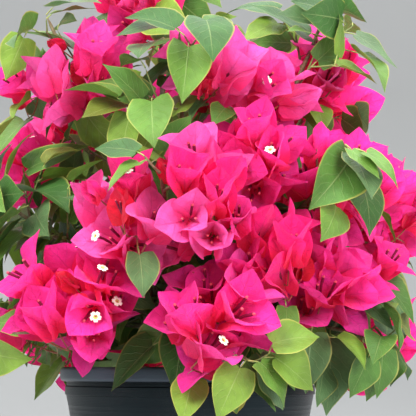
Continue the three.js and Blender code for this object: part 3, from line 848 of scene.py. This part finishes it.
def grow_mass(plant, mass, limb):
    """The part's own stem and twigs. Gives back what finer shoots grow from."""
    random = Seeded(mass.seed)
    start = mass.entry + mass.arriving * GAP
    far = mass.centre + mass.arriving * reach(mass.centre, mass.arriving, mass) * STEM_REACH
    far = far + UP * mass.tier.climb
    middle = start + mass.arriving * ((mass.centre - start) @ mass.arriving)
    first_turn = random.draw() * FULL_TURN
    stem = grow_twig(mass, STEM, (start, middle, far), first_turn)
    stem.start = limb.size.tip
    parents = [stem]
    for i in range(TWIG_COUNT):
        share = lerp(TWIG_FROM, TWIG_TO, i / (TWIG_COUNT - 1))
        angle = lerp(*BRANCH_ANGLE, share) + random.spread(BRANCH_JITTER)
        turn = first_turn + i * GOLDEN_ANGLE + random.spread(TURN_JITTER)
        root = stem.curve.place(share)
        way = branch_off(stem.curve.tangent(share), turn, radians(angle))
        length = min(reach(root, way, mass) * TWIG_REACH, TWIG_LONGEST)
        points = arched(root, way, length)
        if length >= TWIG_SHORTEST and plant.has_room(points[1:], mass):
            parents.append(grow_twig(mass, TWIG, points, turn))
    for twig in parents:
        plant.add_twig(twig)
    return [*parents, Record(mass=mass, kind=LIMB, curve=limb.curve, turn=first_turn)]


def add_shoots(plant, parent, rng):
    """Finer shoots off a twig or limb."""
    mass = parent.mass
    for j, share in enumerate(parent.kind.shoots):
        share = share + rng.uniform(-0.05, 0.05)
        root = parent.curve.place(share)
        turn = parent.turn + j * GOLDEN_ANGLE + rng.uniform(-0.5, 0.5)
        angle = radians(SHOOT_ANGLE + rng.uniform(-12, 12))
        way = branch_off(parent.curve.tangent(share), turn, angle)
        way = unit(way + mass.away * 0.35 + UP * (0.25 - 0.3 * mass.tier.droop))
        length = SHOOT_LONGEST * rng.uniform(0.75, 1.1)
        if parent.kind is not LIMB:
            length = min(reach(root, way, mass) * SHOOT_REACH, length)
        if length < SHOOT_SHORTEST:
            continue
        points = arched(root, way, length)
        line = lerp(root, points[2], SHOOT_MARKS)
        if plant.has_room(points[::2], mass) and plant.clear_of_blooms(line):
            plant.add_twig(grow_twig(mass, SHOOT, points, turn))


def clothe(plant, rng):
    """Leaves where there is room, and here and there a young bloom at the end of a leafy shoot."""
    for twig in [each for each in plant.twigs if each.level < PETIOLE.level]:
        tip = twig.curve.place(1)
        blooming = (distances(plant.hearts, tip) < NEAR_BLOOM).any()
        if twig.kind is SHOOT and not blooming and rng.random() < LONE_BLOOMS:
            face = unit(twig.curve.tangent(1) + UP * rng.uniform(0, 0.6))
            heart = tip + face * LONE_REACH
            add_bloom(plant, twig.mass, heart, face, True, rng.random(), rng)
        leafy = LEAFINESS * twig.mass.tier.leafy
        for j, share in enumerate(twig.leaves):
            place = min(share + rng.uniform(-0.04, 0.04), 0.99)
            turn = twig.turn + j * GOLDEN_ANGLE
            if rng.random() < leafy:
                add_leaf(plant, twig, place, turn, rng)
            if rng.random() < THORNY and place < min(twig.until, LAST_LEAF):
                add_thorn(plant, twig, place, turn, rng)
    plant.twigs = [twig for twig in plant.twigs if twig.until]


# Shapes and tones of blades and flowers


def blade_points(blades, form, grid):
    """Leaves or bracts as grids. Each blade has root, axes (along, across, normal), length, width,
    pitch and bend (radians along its length), fold, cup, twist, wave and phase."""
    v = np.linspace(0, 1, grid[0])[None, :, None]
    u = np.linspace(-1, 1, grid[1])[None, None, :]

    def each(name):
        return np.array([getattr(blade, name) for blade in blades])[:, None, None]

    length, width, pitch, bend, phase = map(each, ("length", "width", "pitch", "bend", "phase"))
    slope = pitch + bend * v
    along = length * (np.sin(slope) - np.sin(pitch)) / bend
    rise = -length * (np.cos(slope) - np.cos(pitch)) / bend
    base = form.foot + (1 - form.foot) * np.sin(pi / 2 * np.clip(v / form.widest, 0, 1))
    far = np.clip((v - form.widest) / (1 - form.widest), 0, 1)
    outline = np.maximum(base * (1 - far**form.fall) ** form.taper, BLADE_TIP)
    aside = u * (width / 2 * outline)
    # The blade folds along its midrib, cups, waves towards its edge, and puckers between veins.
    crease = np.sqrt(aside**2 + 0.5) - sqrt(0.5)
    sway = np.sin(each("waves") * v + phase + np.where(u > 0, 1.7, 0))
    waves = each("wave") * u**2 * outline * sway
    pucker = np.abs(np.sin(pi * 5 * (v - 0.3 * np.abs(u) ** 0.85)))
    crinkle = each("crinkle") * outline * (
        np.sin(9 * v + 5 * u + 3 * phase)
        + 0.7 * np.sin(15 * v - 8 * u + 5 * phase)
        + 0.5 * np.sin(21 * v + 13 * u + 7 * phase)
        + 1.1 * pucker * np.sqrt(np.abs(u))
    )
    lift = each("fold") * crease + each("cup") * aside**2 / width + waves + crinkle
    turn = each("twist") * v
    lobes = -form.lobes * np.sin(0.8 * pi * np.abs(u) ** 0.8)
    back = length * lobes * (1 - v) ** 5
    x = along + back * np.cos(slope) - lift * np.sin(slope)
    y = aside * np.cos(turn)
    z = rise + back * np.sin(slope) + lift * np.cos(slope) + aside * np.sin(turn)
    axes = np.array([blade.axes for blade in blades])
    roots = np.array([blade.root for blade in blades])
    local = np.stack(np.broadcast_arrays(x, y, z), axis=-1)
    return roots[:, None, None] + local @ axes[:, None]


def leaf_tone(leaf, rng):
    """The number of a leaf's tone. Leaves near the tips are fresh, and inner ones deep."""
    outer = leaf.level / 2 * 0.6 + leaf.share * 0.4
    weights = np.array([inner + gain * outer for _, inner, gain in LEAF_TONES.values()])
    return rng.choice(len(weights), p=weights / weights.sum())


def bract_tone(bloom):
    """The number of a bloom's tone. Those of a cluster are alike."""
    if bloom.young and bloom.drift < YOUNG_REDS:
        return len(BRACT_SHARES)
    pick = (bloom.tone + TONE_DRIFT * (bloom.drift - 0.5)) % 1
    return np.searchsorted(np.cumsum(BRACT_SHARES), pick, side="right")


def star_points(centre, axis, spin):
    """Rings of an open flower: five lobes, each with a notch, spread flat on the tube's end."""
    first = branch_off(axis, spin, pi / 2)
    second = np.cross(axis, first)
    angles = np.linspace(0, FULL_TURN, STAR_POINTS, endpoint=False)
    lobe = 0.62 + 0.42 * np.abs(np.cos(2.5 * angles)) - 0.2 * np.abs(np.cos(2.5 * angles)) ** 10
    aside = first * np.cos(angles)[:, None] + second * np.sin(angles)[:, None]
    rings = []
    for share, rise in STAR_RINGS:
        out = STAR_RADIUS * share * lerp(1, lobe, share)[:, None]
        rings.append(centre + aside * out + axis * rise)
    return np.array(rings)


def add_flowers(bloom, lines, radii, stars, rng):
    """Adds the tubes on a bloom's bracts, as lines and radii, and the star of each open flower."""
    scale = bloom.size / BRACT_LENGTH[1]
    for bract in bloom.bracts:
        along, _, normal = bract.axes
        foot = bract.root + along * bract.length * TUBE_FOOT + normal * 1.2
        way = unit(bloom.axis + bract.radial * rng.uniform(0.0, 0.3) + rng.normal(0, 0.05, 3))
        length = rng.uniform(*TUBE_LENGTH) * scale
        sway = rng.normal(0, 1.0, 3)
        line = foot + way * length * TUBE_RINGS + sway * np.sin(pi * TUBE_RINGS) * 0.7
        lines.append(line)
        radii.append(TUBE_RADII * scale)
        if not bloom.young and rng.random() < OPEN_FLOWERS:
            stars.append(star_points(line[-1], way, rng.uniform(0, FULL_TURN)))


# Materials


class Paint:
    """One material's nodes."""

    def __init__(self, name, color, roughness, specular):
        self.material = bpy.data.materials.new(name)
        self.material.use_nodes = True
        self.tree = self.material.node_tree
        self.shader = self.tree.nodes["Principled BSDF"]
        self.set("Base Color", (*color, 1))
        self.set("Roughness", roughness)
        self.set("Specular IOR Level", specular)

    def feed(self, socket, value):
        """Gives a socket a number or colour, or links it to another node's socket."""
        if isinstance(value, bpy.types.NodeSocket):
            self.tree.links.new(value, socket)
        else:
            socket.default_value = value

    def set(self, socket, value):
        self.feed(self.shader.inputs[socket], value)

    def node(self, kind, *values, **named):
        """A node. A name in lower case is a setting and another an input, and values go to the
        first inputs."""
        made = self.tree.nodes.new("ShaderNode" + kind)
        for name, value in named.items():
            if name.islower():
                setattr(made, name, value)
            else:
                self.feed(made.inputs[name], value)
        for socket, value in zip(made.inputs, values):
            self.feed(socket, value)
        return made

    def math(self, operation, *values):
        return self.node("Math", *values, operation=operation).outputs[0]

    def times(self, first, second):
        return self.math("MULTIPLY", first, second)

    def stretch(self, place, scales):
        return self.node("VectorMath", place, scales, operation="MULTIPLY").outputs[0]

    def ramp(self, value, low, high, start=0.0, end=1.0):
        """A smooth step from start to end as the value goes from low to high."""
        values = (value, low, high, start, end)
        return self.node("MapRange", *values, interpolation_type="SMOOTHSTEP").outputs[0]

    def mix(self, share, first, second):
        made = self.node("Mix", share, data_type="RGBA")
        for socket, color in ((made.inputs[6], first), (made.inputs[7], second)):
            self.feed(socket, color if isinstance(color, bpy.types.NodeSocket) else (*color, 1))
        return made.outputs[2]

    def place(self):
        return self.node("TexCoord").outputs["Object"]

    def noise(self, place, scale, detail=3.0, roughness=0.55):
        made = self.node("TexNoise", place, Scale=scale, Detail=detail, Roughness=roughness)
        return made.outputs["Fac"]

    def bump(self, height, distance, strength):
        made = self.node("Bump", Strength=strength, Distance=distance, Height=height)
        self.set("Normal", made.outputs["Normal"])
        return made.outputs["Normal"]

    def let_light_through(self, share, color, normal):
        """Mixes in light that falls on the far side of a thin blade."""
        through = self.node("BsdfTranslucent", Color=color, Normal=normal)
        both = self.node("MixShader", share, self.shader.outputs[0], through.outputs[0])
        self.feed(self.tree.nodes["Material Output"].inputs["Surface"], both.outputs[0])


def veins(paint, pairs, slant):
    """Masks of the side veins, fine net and midrib on a blade, and its places across and along."""
    place = paint.node("UVMap", uv_map=BLADE_MAP).outputs[0]
    split = paint.node("SeparateXYZ", place)
    along = split.outputs["Y"]
    across = paint.math("ABSOLUTE", paint.math("MULTIPLY_ADD", split.outputs["X"], 2.0, -1.0))
    midrib = paint.ramp(across, 0.0, 0.05, 1.0, 0.0)
    wander = paint.times(paint.noise(place, 5.0, 1.0), 0.12)
    lean = paint.math("MULTIPLY_ADD", paint.math("POWER", across, 0.85), -slant, along)
    phase = paint.math("FRACT", paint.times(paint.math("ADD", lean, wander), pairs))
    beside = paint.math("ABSOLUTE", paint.math("SUBTRACT", phase, 0.5))
    side = paint.ramp(beside, 0.0, 0.1, 1.0, 0.0)
    side = paint.times(side, paint.ramp(across, 0.65, 1.0, 1.0, 0.25))
    place = paint.stretch(place, (0.8, 1.0, 1.0))
    cells = paint.node("TexVoronoi", place, feature="DISTANCE_TO_EDGE", Scale=24.0)
    net = paint.ramp(cells.outputs["Distance"], 0.0, 0.1, 1.0, 0.0)
    return Record(masks=(side, net, midrib), across=across, along=along)


def together(paint, operation, masks, strengths):
    """Brings the side veins, net and midrib together, each at its own strength."""
    side, net, midrib = (paint.times(mask, by) for mask, by in zip(masks, strengths))
    return paint.math(operation, paint.math(operation, side, net), midrib)


def leaf_material(name, color):
    """A leaf with pale veins and a yellower rim."""
    color = np.array(color)
    paint = Paint(f"leaf_{name}", color, 0.44, 0.5)
    vein = veins(paint, 6.5, 0.34)
    pale = lerp(color, np.array([0.52, 0.62, 0.26]), 0.45)
    edge = lerp(color, np.array([0.60, 0.48, 0.13]), 0.6)
    patches = paint.ramp(paint.noise(paint.place(), 55.0, 4.0), 0.35, 0.7)
    body = paint.mix(patches, color * 0.84, color * 1.14)
    body = paint.mix(together(paint, "MAXIMUM", vein.masks, (0.16, 0.06, 0.5)), body, pale)
    body = paint.mix(paint.times(paint.ramp(vein.across, 0.9, 0.98), 0.6), body, edge)
    paint.set("Base Color", body)
    height = together(paint, "ADD", vein.masks, (-0.55, -0.12, -0.6))
    paint.let_light_through(0.26, body, paint.bump(height, 0.0006, 0.8))
    return paint.material


def bract_material(name, color, throat):
    """A papery bract with dark veins, whose colour changes towards its foot."""
    color = np.array(color)
    paint = Paint(f"bract_{name}", color, 0.56, 0.35)
    paint.set("Sheen Weight", 0.18)
    paint.set("Sheen Roughness", 0.45)
    paint.set("Sheen Tint", (1.0, 0.62, 0.86, 1))
    vein = veins(paint, 5.0, 0.3)
    dark = color * (0.62, 0.45, 0.5)
    patches = paint.ramp(paint.noise(paint.place(), 75.0, 5.0, 0.65), 0.32, 0.7)
    body = paint.mix(patches, color * 0.84, np.minimum(color * 1.16, 1))
    body = paint.mix(paint.ramp(vein.along, 0.08, 0.55, 0.92, 0.0), body, throat)
    body = paint.mix(together(paint, "MAXIMUM", vein.masks, (0.3, 0.2, 0.5)), body, dark)
    paint.set("Base Color", body)
    height = together(paint, "ADD", vein.masks, (-0.5, -0.3, -0.5))
    papery = paint.times(paint.noise(paint.place(), 320.0, 2.0), 0.7)
    normal = paint.bump(paint.math("ADD", height, papery), 0.0009, 0.9)
    paint.let_light_through(0.45, paint.mix(0.4, body, (1.0, 0.035, 0.22)), normal)
    return paint.material


def speckled(name, color, other, scale, roughness, distance, specular=0.4):
    """A surface mottled between two colours, with relief of a finer noise."""
    paint = Paint(name, color, roughness, specular)
    place = paint.place()
    patches = paint.ramp(paint.noise(place, scale, 5.0, 0.6), 0.38, 0.66)
    paint.set("Base Color", paint.mix(patches, color, other))
    paint.bump(paint.noise(place, scale * 5, 4.0, 0.6), distance, 0.7)
    return paint.material


def bark_material():
    """Grey-brown bark with long fissures and greener patches."""
    paint = Paint("bark", (0.19, 0.15, 0.11), 0.86, 0.25)
    place = paint.place()
    fissures = paint.noise(paint.stretch(place, (1.0, 1.0, 0.28)), 420.0, 5.0, 0.62)
    patches = paint.times(paint.ramp(paint.noise(place, 60.0, 3.0), 0.5, 0.75), 0.4)
    body = paint.mix(paint.ramp(fissures, 0.36, 0.62), (0.085, 0.062, 0.045), (0.25, 0.205, 0.155))
    paint.set("Base Color", paint.mix(patches, body, (0.16, 0.17, 0.09)))
    paint.bump(fissures, 0.0012, 0.8)
    return paint.material


def pot_material():
    """Black moulded plastic with a satin gloss, faint moulding lines and dust."""
    paint = Paint("pot_plastic", (0.018, 0.022, 0.026), 0.4, 0.2)
    paint.set("Specular Tint", (0.72, 0.9, 1.0, 1))
    place = paint.place()
    smears = paint.ramp(paint.noise(place, 18.0, 5.0, 0.6), 0.45, 0.75)
    specks = paint.ramp(paint.noise(place, 900.0, 2.0), 0.42, 0.7)
    dust = paint.times(smears, specks)
    body = paint.mix(paint.times(dust, 0.45), (0.0065, 0.0105, 0.013), (0.06, 0.06, 0.056))
    height = paint.times(paint.node("SeparateXYZ", place).outputs["Z"], 1 / MM)
    # Painted shade darkens the band under the lip's overhang, nearly to black.
    painted_shade = paint.ramp(height, LIP_FOOT - 7, LIP_FOOT - 0.5, 0.0, 0.85)
    body = paint.mix(painted_shade, body, (0.002, 0.003, 0.004))
    # Painted reflection: the lip is painted paler and bluer, as if it mirrored the sky.
    body = paint.mix(paint.ramp(height, LIP_FOOT - 0.2, LIP_FOOT + 1.5), body, (0.062, 0.077, 0.10))
    paint.set("Base Color", body)
    paint.set("Roughness", paint.ramp(dust, 0.0, 0.6, 0.42, 0.62))
    lines = paint.math("SINE", paint.times(height, FULL_TURN / LINE_PITCH))
    fine = paint.noise(place, 1400.0, 2.0)
    paint.bump(paint.math("ADD", paint.times(lines, 0.3), fine), 0.00012, 0.8)
    return paint.material


# Pieces


def wall_radius(height):
    return lerp(BASE_RADIUS, WALL_TOP_RADIUS, height / BAND_FOOT)


def arc(centre, radius, start, end, steps=6):
    """Points of a round stretch of a profile, as (radius, height)."""
    angles = np.radians(np.linspace(start, end, steps))
    return [(centre[0] + radius * cos(a), centre[1] + radius * sin(a)) for a in angles]


def turned(profile, sides):
    """A profile of (radius, height) turned about the pot's axis, as one closed grid."""
    profile = np.array(profile, float)
    angles = np.linspace(0, FULL_TURN, sides, endpoint=False)
    points = np.empty((1, len(profile), sides, 3))
    points[0, :, :, 0] = profile[:, :1] * np.cos(angles)
    points[0, :, :, 1] = profile[:, :1] * np.sin(angles)
    points[0, :, :, 2] = profile[:, 1:]
    return points


def weld(mesh):
    """Joins vertices that lie on each other, as at the ends of a turned profile."""
    work = bmesh.new()
    work.from_mesh(mesh)
    bmesh.ops.remove_doubles(work, verts=work.verts, dist=1e-6)
    bmesh.ops.recalc_face_normals(work, faces=work.faces)
    work.to_mesh(mesh)
    work.free()


def make_pot(paint):
    ridges = []
    for height in np.arange(FOOT_BEVEL + 5, BAND_FOOT - 7, RIDGE_PITCH):
        for rise, out in ((0, 0), (0.35, RIDGE_DEPTH), (0.95, RIDGE_DEPTH), (1.3, 0)):
            ridges.append((wall_radius(height + rise) + out - RIDGE_DEPTH, height + rise))
    profile = [
        (0, 0),
        (BASE_RADIUS - FOOT_BEVEL - 4, 0),
        *arc((BASE_RADIUS - FOOT_BEVEL, FOOT_BEVEL), FOOT_BEVEL, -90, 0),
        *ridges,
        (WALL_TOP_RADIUS - 0.15, BAND_FOOT - 2),
        (WALL_TOP_RADIUS, BAND_FOOT - 0.3),
        *arc((BAND_RADIUS - 0.5, BAND_FOOT + 0.5), 0.5, -80, 10, 4),
        (BAND_RADIUS, BAND_FOOT + 4),
        (BAND_RADIUS, LIP_FOOT - 5),
        (BAND_RADIUS - 1.4, LIP_FOOT - 4),
        (BAND_RADIUS - 1.4, LIP_FOOT - 0.5),
        (BAND_RADIUS - 0.9, LIP_FOOT),
        (RIM_RADIUS - LIP_ROUND, LIP_FOOT),
        *arc((RIM_RADIUS - LIP_ROUND, LIP_FOOT + LIP_ROUND), LIP_ROUND, -80, 0),
        *arc((RIM_RADIUS - LIP_ROUND, POT_HEIGHT - LIP_ROUND), LIP_ROUND, 10, 90),
        *arc((BAND_RADIUS - WALL + LIP_ROUND, POT_HEIGHT - LIP_ROUND), LIP_ROUND, 100, 180),
        (wall_radius(SOIL_LEVEL) - WALL, SOIL_LEVEL),
        (wall_radius(FLOOR) - WALL, FLOOR),
        (0, FLOOR),
    ]
    piece = Piece()
    piece.add(turned(profile, POT_SIDES), 0, closed=True)
    pot = piece.write("nursery_pot", [paint], "pot", ["pot"])
    weld(pot.data)
    drains = Piece()
    drain = [(0, -DRAIN_CUT), (DRAIN_RADIUS, -DRAIN_CUT), (DRAIN_RADIUS, DRAIN_CUT), (0, DRAIN_CUT)]
    for i in range(DRAIN_COUNT):
        place = outward((i + 0.5) / DRAIN_COUNT * FULL_TURN) * DRAIN_RING
        drains.add(turned(drain, DRAIN_SIDES) + place, 0, closed=True)
    cutter = add_object("drains", drains.mesh("drains"))
    weld(cutter.data)
    cut = pot.modifiers.new("drains", "BOOLEAN")
    cut.object = cutter
    cut.solver = "EXACT"
    mesh = bpy.data.meshes.new_from_object(pot.evaluated_get(bpy.context.evaluated_depsgraph_get()))
    pot.modifiers.clear()
    pot.data = mesh
    bpy.data.objects.remove(cutter)
    mesh.shade_smooth()
    mesh.set_sharp_from_angle(angle=POT_CREASE)


def grain(x, y, z):
    return noise.noise(Vector((x, y, z)))


def make_soil(rng):
    """Uneven soil, domed in the middle, with chips of bark and perlite on it."""
    paints = [speckled(name, *tone, 0.2) for name, tone in SOIL_TONES.items()]
    edge = SOIL_LEVEL - SOIL_DIP
    outer = wall_radius(edge) - WALL - GAP

    def surface(radius):
        return lerp(SOIL_LEVEL, edge, smoothstep(radius, SOIL_FLAT, outer))

    rings = np.linspace(0.001, 1, SOIL_RINGS) * (outer - 0.2)
    top = turned([(radius, surface(radius) - SOIL_SUNK) for radius in rings], SOIL_SIDES)
    for point in top.reshape(-1, 3):
        x, y, _ = point
        point[2] += 1.5 * grain(x / 9, y / 9, 0) + 0.7 * grain(x / 3, y / 3, 5)
    floor = FLOOR + GAP
    below = [(outer - 0.2, edge - 2), (wall_radius(4) - WALL - GAP, floor), (0, floor)]
    piece = Piece()
    piece.add(np.concatenate([top, turned(below, SOIL_SIDES)], axis=1), 0, closed=True)
    lumps, tones = [], []
    lump = turned([(0.02, -1), (0.72, -0.7), (1, 0), (0.72, 0.7), (0.02, 1)], 8)[0]
    for _ in range(CHIP_COUNT):
        radius = sqrt(rng.uniform(CHIP_CLEAR[0] ** 2, (outer - CHIP_CLEAR[1]) ** 2))
        angle = rng.uniform(0, FULL_TURN)
        size = rng.uniform(*CHIP_SIZE) * rng.uniform(CHIP_LEAST, CHIP_MOST)
        spin = rng.uniform(0, FULL_TURN)
        turn = [[cos(spin), sin(spin), 0], [-sin(spin), cos(spin), 0], [0, 0, 1]]
        rough = lump * (1 + rng.uniform(-0.25, 0.25, lump.shape[:2])[..., None])
        place = (radius * cos(angle), radius * sin(angle), surface(radius) - CHIP_SUNK)
        lumps.append((rough * size) @ turn + place)
        tones.append(2 if rng.random() < PERLITE_SHARE else 1)
    piece.add(np.array(lumps), tones, closed=True)
    piece.write("potting_mix", paints, "soil", ["soil"])


def relief(point, depth):
    """Height of the bark over a limb's smooth surface at a point."""
    x, y, z = point
    ridges = grain(x / 2.2, y / 2.2, z / 9) + 0.5 * grain(x / 0.9, y / 0.9, z / 3.4 + 20)
    return depth * (0.25 + ridges)


def make_trunk(curve, paint):
    shares = np.linspace(0, 1, TRUNK_RINGS)
    middles = curve.places(shares)
    tangents = curve.tangents(shares)
    over = unit(np.array([1.0, 0, 0]) - tangents * tangents[:, :1])
    front = np.cross(over, tangents)
    points = np.empty((1, TRUNK_RINGS + 1, TRUNK_SIDES, 3))
    for i, share in enumerate(shares):
        flare = exp(-share / FLARE_SHARE)
        for j in range(TRUNK_SIDES):
            angle = FULL_TURN * j / TRUNK_SIDES
            way = front[i] * -cos(angle) + over[i] * sin(angle)
            lobe = 1 + LOBE_DEPTH * flare * cos(FLARE_LOBES * angle)
            radius = (lerp(TRUNK_FOOT_RADIUS, TRUNK_TOP_RADIUS, share) + FLARE * flare) * lobe
            smooth = middles[i] + way * radius
            points[0, i, j] = smooth + way * relief(smooth, TRUNK_RELIEF)
    # The last ring closes the top, a little above the one before.
    top = middles[-1]
    points[0, -1] = top + (points[0, -2] - top) * CLOSED_TIP + tangents[-1] * 1.5
    piece = Piece()
    piece.add(points, 0, closed=True)
    piece.write("trunk_bark", [paint], "bark", ["trunk"])


def make_limbs(limbs, name, paint, slot):
    """Canes or boughs with knots, bark relief, and a collar where each leaves its parent."""
    piece = Piece()
    for limb in limbs:
        size, curve = limb.size, limb.curve
        shares = np.linspace(0, 1, int(curve.length / RING_PITCH))
        walked = shares * curve.length
        collar = 1 + COLLAR.swell * np.exp(-walked / COLLAR.length)
        knots = 1 + KNOTS.swell * np.abs(np.sin(pi * walked / KNOTS.pitch)) ** KNOTS.sharpness
        radii = lerp(size.start, size.tip, shares) * collar * knots
        middles = curve.places(shares)
        points = tube_points(middles[None], radii[None], size.sides)
        for ring, middle, radius in zip(points[0], middles, radii):
            for point in ring:
                point += unit(point - middle) * relief(point, LIMB_RELIEF * radius)
        piece.add(points, 0, closed=True)
    piece.write(name, [paint], slot, [limb.name for limb in limbs])


def make_twigs(twigs, paints, tier, nodes):
    piece = Piece()
    for kind in (STEM, TWIG, SHOOT, RACHIS, PETIOLE, PEDUNCLE, THORN):
        mine = [twig for twig in twigs if twig.kind is kind]
        if not mine:
            continue
        shares = np.linspace(0, 1, kind.rings)
        middles = np.array([twig.curve.places(shares * twig.until) for twig in mine])
        radii = np.array([lerp(twig.start, twig.tip, shares * twig.until) for twig in mine])
        radii = radii * (1 + 0.1 * np.sin(shares * 23))
        radii[:, -1] = CLOSED_TIP
        piece.add(tube_points(middles, radii, kind.sides), kind.tone, closed=True)
    piece.write(f"twigs_{tier.name}", paints, "green_bark", nodes)


def make_leaves(leaves, paints, tier, nodes, rng):
    piece = Piece()
    tones = [leaf_tone(leaf, rng) for leaf in leaves]
    piece.add(blade_points(leaves, LEAF_FORM, LEAF_GRID), tones)
    piece.write(f"leaves_{tier.name}", paints, "leaves", nodes)


def make_bracts(blooms, paints, tier, nodes):
    piece = Piece()
    bracts = [bract for bloom in blooms for bract in bloom.bracts]
    tones = [bract_tone(bloom) for bloom in blooms for _ in bloom.bracts]
    piece.add(blade_points(bracts, BRACT_FORM, BRACT_GRID), tones)
    piece.write(f"bracts_{tier.name}", paints, "bracts", nodes)


def make_flowers(blooms, paints, tier, nodes, rng):
    """The tubes and open flowers. Paints are in the order of FLOWER_TONES."""
    lines, radii, stars = [], [], []
    for bloom in blooms:
        add_flowers(bloom, lines, radii, stars, rng)
    piece = Piece()
    tubes = tube_points(np.array(lines), np.array(radii), TUBE_SIDES)
    piece.add(tubes[:, : TUBE_SPLIT + 1], 0, closed=True)
    piece.add(tubes[:, TUBE_SPLIT:], 1, closed=True)
    if stars:
        stars = np.array(stars)
        piece.add(stars[:, : STAR_SPLIT + 1], 3, closed=True)
        piece.add(stars[:, STAR_SPLIT:], 2, closed=True)
    piece.write(f"flowers_{tier.name}", paints, "flowers", nodes)


# Surroundings


def make_backdrop():
    """A pale floor that sweeps up all round into a wall, well behind the camera's path."""
    sweep = arc((3400, 1600), 1600, -80, 0, 9)
    piece = Piece()
    piece.add(turned([(0, 0), (1500, 0), (3400, 0), *sweep, (5000, 4200)], 96), 0, closed=True)
    mesh = piece.mesh("floor")
    weld(mesh)
    mesh.materials.append(Paint("floor_paint", (0.27, 0.27, 0.268), 0.9, 0.1).material)
    add_object("floor", mesh)


def add_light(name, place, size, energy, color=(1, 1, 1)):
    """A round lamp that faces the crown."""
    light = bpy.data.lights.new(name, "AREA")
    light.shape = "DISK"
    light.size = size
    light.energy = energy
    light.color = color
    lamp = add_object(name, light)
    lamp.location = place
    lamp.rotation_euler = (Vector((0, 0, 0.4)) - Vector(place)).to_track_quat("-Z", "Y").to_euler()
    lamp.visible_glossy = False  # no glare on leaves seen at a low angle


def make_camera():
    data = bpy.data.cameras.new("camera")
    data.angle = 2 * atan(PHOTO_SIZE / 2 / FOCAL_PIXELS)
    camera = add_object("camera", data)
    camera.location = (CAMERA_ASIDE * MM, -CAMERA_DISTANCE * MM, POT_HEIGHT * MM)
    pitch = atan((RIM_ROW - PHOTO_SIZE / 2) / FOCAL_PIXELS)
    camera.rotation_euler = (pi / 2 + pitch, 0, 0)
    bpy.context.scene.camera = camera


def make_light():
    world = bpy.data.worlds.new("studio")
    world.use_nodes = True
    background = world.node_tree.nodes["Background"]
    background.inputs["Color"].default_value = (0.93, 0.97, 1.0, 1)
    background.inputs["Strength"].default_value = 3.0
    bpy.context.scene.world = world
    add_light("key", (-1.5, -1.9, 2.3), 1.6, 180, (1, 0.98, 0.95))
    add_light("back", (1.3, 1.7, 2.1), 1.5, 165)
    add_light("fill", (1.5, -2.2, 0.9), 1.8, 95)
    bpy.context.scene.view_settings.view_transform = "Standard"


def grow(masses, limbs):
    """The whole plant, from the stems of its masses to the last leaf."""
    plant = Plant(masses)
    rng = np.random.default_rng(PLANT_SEED + 1)
    parents = []
    for mass in masses:
        parents += grow_mass(plant, mass, next(limb for limb in limbs if limb.mass is mass))
    bloom_clusters(plant, rng)
    for parent in parents:
        add_shoots(plant, parent, rng)
    clothe(plant, rng)
    return plant


def make_foliage(plant, masses, rng):
    """The pieces of each tier: twigs, leaves, bracts and flowers."""
    twig_paints = [speckled(f"twig_{name}", *tone) for name, tone in TWIG_TONES.items()]
    leaf_paints = [leaf_material(name, color) for name, (color, _, _) in LEAF_TONES.items()]
    bract_paints = [bract_material(name, *colors) for name, colors in BRACT_TONES.items()]
    flower_paints = [speckled(name, *tone) for name, tone in FLOWER_TONES.items()]
    for tier in TIERS:
        nodes = [f"foliage_{mass.name}" for mass in masses if mass.tier is tier]
        twigs, leaves, blooms = (
            [each for each in kept if each.mass.tier is tier]
            for kept in (plant.twigs, plant.leaves, plant.blooms)
        )
        make_twigs(twigs, twig_paints, tier, nodes)
        make_leaves(leaves, leaf_paints, tier, nodes, rng)
        make_bracts(blooms, bract_paints, tier, nodes)
        make_flowers(blooms, flower_paints, tier, nodes, rng)


def build():
    make_camera()
    make_light()
    make_backdrop()
    trunk = trunk_curve()
    masses = place_masses()
    part_spaces(masses)
    limbs = place_limbs(masses, trunk)
    plant = grow(masses, limbs)
    rng = np.random.default_rng(PLANT_SEED)
    bark = bark_material()
    green = speckled("green_cane", (0.13, 0.12, 0.06), (0.22, 0.19, 0.12), 130.0, 0.7, 0.0005)
    make_pot(pot_material())
    make_soil(rng)
    make_trunk(trunk, bark)
    make_limbs([limb for limb in limbs if limb.size is CANE], "canes_bark", bark, "bark")
    make_limbs([limb for limb in limbs if limb.size is BOUGH], "boughs_bark", green, "green_bark")
    make_foliage(plant, masses, rng)
    print(len(plant.twigs), "twigs", len(plant.leaves), "leaves", len(plant.blooms), "blooms")


build()
